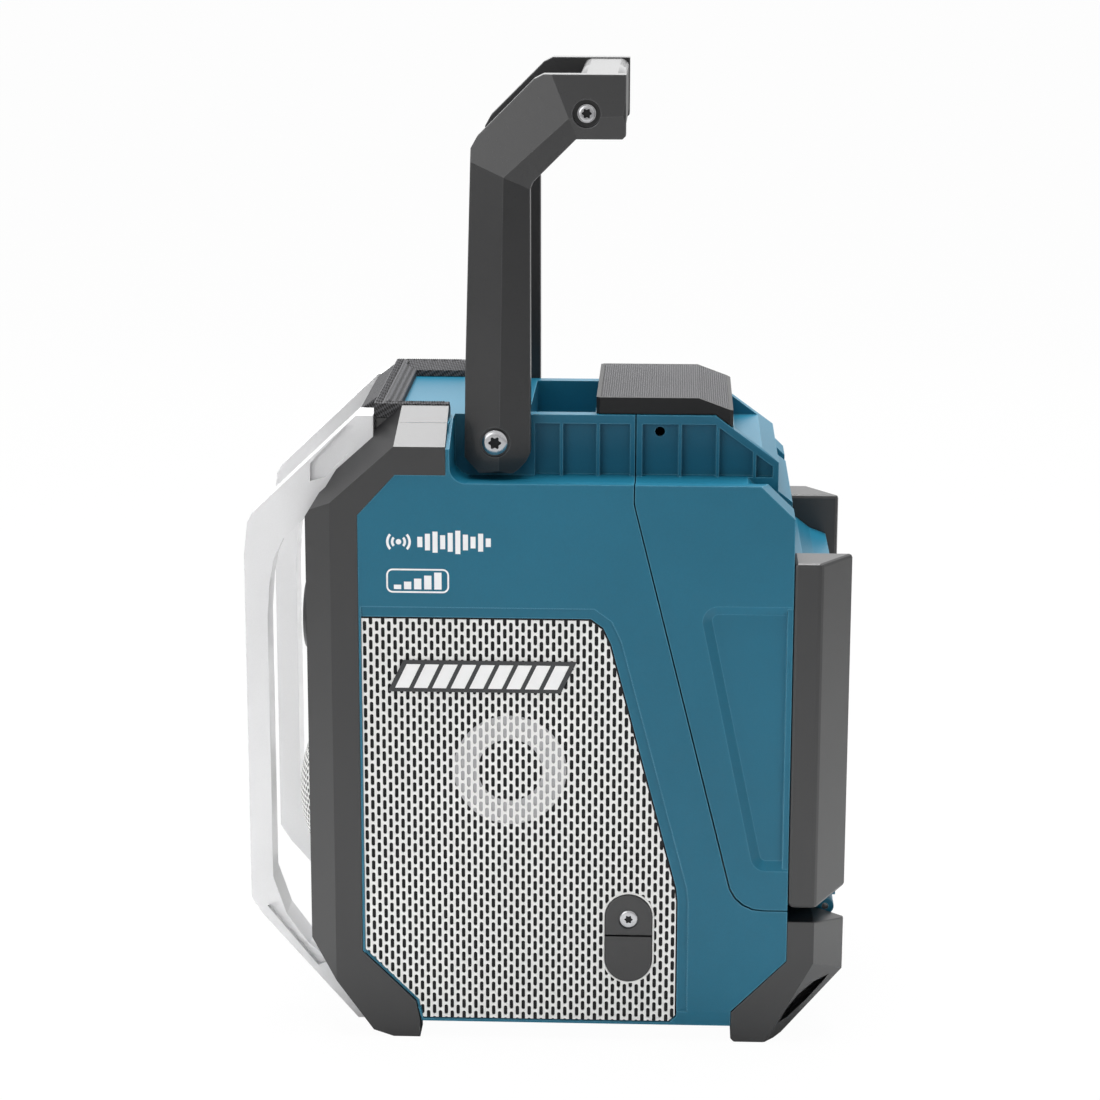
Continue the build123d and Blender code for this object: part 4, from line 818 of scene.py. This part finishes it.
for number in range(display["levels"]):
    at = display["levelFrom"] + number * display["levelPitch"]
    head = display["levelFoot"] + display["levelTall"] + number * display["levelRise"]
    parts.append(uprightPlate("level", at, at + display["levelWide"], display["levelFoot"], head,
                              display["depth"]))
for arc in waveArcs(display["arcs"], display["arcWide"], display["depth"], 12):
    arc.location = (display["arcAt"][0] * mm, display["arcAt"][1] * mm, 0)
    settle(arc)
    parts.append(arc)
lcdContent = joinAll(parts, "lcdContent")
place(lcdContent, "slope", display["at"])
dress(lcdContent, lcdInk, "display_glass", "casing")
print("front panel")

# woofer grille: punched steel with round holes in a staggered field, drawn in its material: the holes are
# painted shade, mm
holes = {"pitch": 3.0, "radius": 0.95, "field": 46.0, "middle": 93.0, "sunk": 0.4,
         "steel": "#e2e2e0", "dark": "#0e0e0f", "wholeCells": 100}
perforated, holeTree, holeShader = newMaterial("perforatedSteel", holes["steel"], 0.42)
holePlace = addNode(holeTree, "ShaderNodeTexCoord")
holeAxes = addNode(holeTree, "ShaderNodeSeparateXYZ", None, {"Vector": holePlace.outputs["Object"]})
fromMiddle = addNode(holeTree, "ShaderNodeMath", {"operation": "SUBTRACT", 1: holes["middle"] * mm},
                     {0: holeAxes.outputs["Z"]})
square = (holes["pitch"] * mm, holes["pitch"] * math.sqrt(3) * mm)
grids = []
for shift in (0.0, 0.5):
    sides = []
    for socket, step in ((holeAxes.outputs["X"], square[0]), (fromMiddle.outputs["Value"], square[1])):
        # whole cells are added so that the fraction never sees a negative place
        toCells = {"operation": "MULTIPLY_ADD", 1: 1 / step, 2: shift + holes["wholeCells"]}
        cell = addNode(holeTree, "ShaderNodeMath", toCells, {0: socket})
        part = addNode(holeTree, "ShaderNodeMath", {"operation": "FRACT"}, {0: cell.outputs["Value"]})
        away = addNode(holeTree, "ShaderNodeMath", {"operation": "MULTIPLY_ADD", 1: step, 2: -step / 2},
                       {0: part.outputs["Value"]})
        sides.append(addNode(holeTree, "ShaderNodeMath", {"operation": "POWER", 1: 2.0},
                             {0: away.outputs["Value"]}))
    total = addNode(holeTree, "ShaderNodeMath", {"operation": "ADD"},
                    {0: sides[0].outputs["Value"], 1: sides[1].outputs["Value"]})
    inHole = {"operation": "LESS_THAN", 1: (holes["radius"] * mm) ** 2}
    grids.append(addNode(holeTree, "ShaderNodeMath", inHole, {0: total.outputs["Value"]}))
both = addNode(holeTree, "ShaderNodeMath", {"operation": "MAXIMUM"},
               {0: grids[0].outputs["Value"], 1: grids[1].outputs["Value"]})
flatPlace = addNode(holeTree, "ShaderNodeCombineXYZ", None,
                    {"X": holeAxes.outputs["X"], "Z": fromMiddle.outputs["Value"]})
reach = addNode(holeTree, "ShaderNodeVectorMath", {"operation": "LENGTH"},
                {"Vector": flatPlace.outputs["Vector"]})
within = addNode(holeTree, "ShaderNodeMath", {"operation": "LESS_THAN", 1: holes["field"] * mm},
                 {0: reach.outputs["Value"]})
opened = addNode(holeTree, "ShaderNodeMath", {"operation": "MULTIPLY"},
                 {0: both.outputs["Value"], 1: within.outputs["Value"]})
# the holes take the dark colour: painted shade of the inside seen through them
holeRamp = addNode(holeTree, "ShaderNodeValToRGB", None, {"Fac": opened.outputs["Value"]})
holeRamp.color_ramp.elements[0].color = linear(holes["steel"])
holeRamp.color_ramp.elements[1].color = linear(holes["dark"])
holeTree.links.new(holeRamp.outputs["Color"], holeShader.inputs["Base Color"])
holeBump = addNode(holeTree, "ShaderNodeBump", {"Strength": 0.6, "Distance": -holes["sunk"] * mm},
                   {"Height": opened.outputs["Value"]})
holeTree.links.new(holeBump.outputs["Normal"], holeShader.inputs["Normal"])
paint(nodes["woofer_grille"], perforated)
print("woofer grille")

# floor, light and camera
# size of the floor, its drop below the feet, how far the camera sees it lifted to white,
# light of the world on the object, and how much of the white surroundings a gloss shows
studio = {"floor": 80, "drop": 0.0002, "paperLift": 0.97, "fill": 0.42, "glossShare": 0.8}
deselectAll()
bpy.ops.mesh.primitive_plane_add(size=studio["floor"], location=(0, 0, -studio["drop"]))
floor = bpy.context.object
floor.name = "floor"
# matt paper
floorPaper, paperTree, paperShader = newMaterial("paperFloor", "#f6f6f6", 0.9)
# the camera sees the paper lifted towards white, the object's shadow stays in it
paperRays = addNode(paperTree, "ShaderNodeLightPath")
paperWhite = addNode(paperTree, "ShaderNodeEmission", {"Color": (1, 1, 1, 1), "Strength": 1.0})
paperSeen = addNode(paperTree, "ShaderNodeMath", {"operation": "MULTIPLY", 1: studio["paperLift"]},
                    {0: paperRays.outputs["Is Camera Ray"]})
paperMix = addNode(paperTree, "ShaderNodeMixShader", None,
                   {0: paperSeen.outputs["Value"], 1: paperShader.outputs["BSDF"],
                    2: paperWhite.outputs["Emission"]})
paperTree.links.new(paperMix.outputs["Shader"], paperTree.nodes["Material Output"].inputs["Surface"])
paint(floor, floorPaper)
floor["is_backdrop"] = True

world = bpy.data.worlds.new("studio")
bpy.context.scene.world = world
world.use_nodes = True
worldTree = world.node_tree
background = worldTree.nodes["Background"]
rays = addNode(worldTree, "ShaderNodeLightPath")
seen = addNode(worldTree, "ShaderNodeMath", {"operation": "MULTIPLY_ADD", 1: studio["glossShare"]},
               {0: rays.outputs["Is Glossy Ray"], 2: rays.outputs["Is Camera Ray"]})
clear = addNode(worldTree, "ShaderNodeMath", {"operation": "MAXIMUM"},
                {0: seen.outputs["Value"], 1: rays.outputs["Is Transmission Ray"]})
level = addNode(worldTree, "ShaderNodeMapRange", {"To Min": studio["fill"], "To Max": 1.0},
                {"Value": clear.outputs["Value"]})
worldTree.links.new(level.outputs["Result"], background.inputs["Strength"])
background.inputs["Color"].default_value = (1, 1, 1, 1)

lamps = {
    "topBox": {"place": (-0.12, -0.05, 1.3), "aim": (0, 0, 0.28), "size": 0.88, "power": 26.0},
    "farBox": {"place": (-1.5, 0.1, 0.9), "aim": (0, 0, 0.28), "size": 1.1, "power": 3.0},
    "cameraSide": {"place": (1.75, -0.85, 0.8), "aim": (0, 0, 0.2), "size": 1.0, "power": 7.0},
    "rearFill": {"place": (0.3, 1.6, 0.9), "aim": (0, 0, 0.2), "size": 1.0, "power": 0.4},
}
for name, lamp in lamps.items():
    light = bpy.data.lights.new(name, "AREA")
    light.size = lamp["size"]
    light.energy = lamp["power"]
    holder = bpy.data.objects.new(name, light)
    bpy.context.collection.objects.link(holder)
    holder.location = lamp["place"]
    holder.rotation_euler = (Vector(lamp["place"]) - Vector(lamp["aim"])).to_track_quat("Z", "Y").to_euler()

shot = {
    "place": (1.337, 0.054, 0.53046), "lens": 97.85,
    "right": (-0.041577, 0.999134, 0.001649), "up": (-0.234521, -0.011364, 0.972044),
    "back": (0.971213, 0.040028, 0.234791), "sensor": 36, "clipEnd": 100,
}
camera = bpy.data.objects.new("camera", bpy.data.cameras.new("camera"))
bpy.context.collection.objects.link(camera)
turn = Matrix((shot["right"], shot["up"], shot["back"])).transposed()
camera.matrix_world = Matrix.Translation(shot["place"]) @ turn.to_4x4()
camera.data.lens = shot["lens"]
camera.data.sensor_width = shot["sensor"]
camera.data.clip_end = shot["clipEnd"]
bpy.context.scene.camera = camera
bpy.context.scene.view_settings.view_transform = "Standard"

low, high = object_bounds()
print("scene ready")
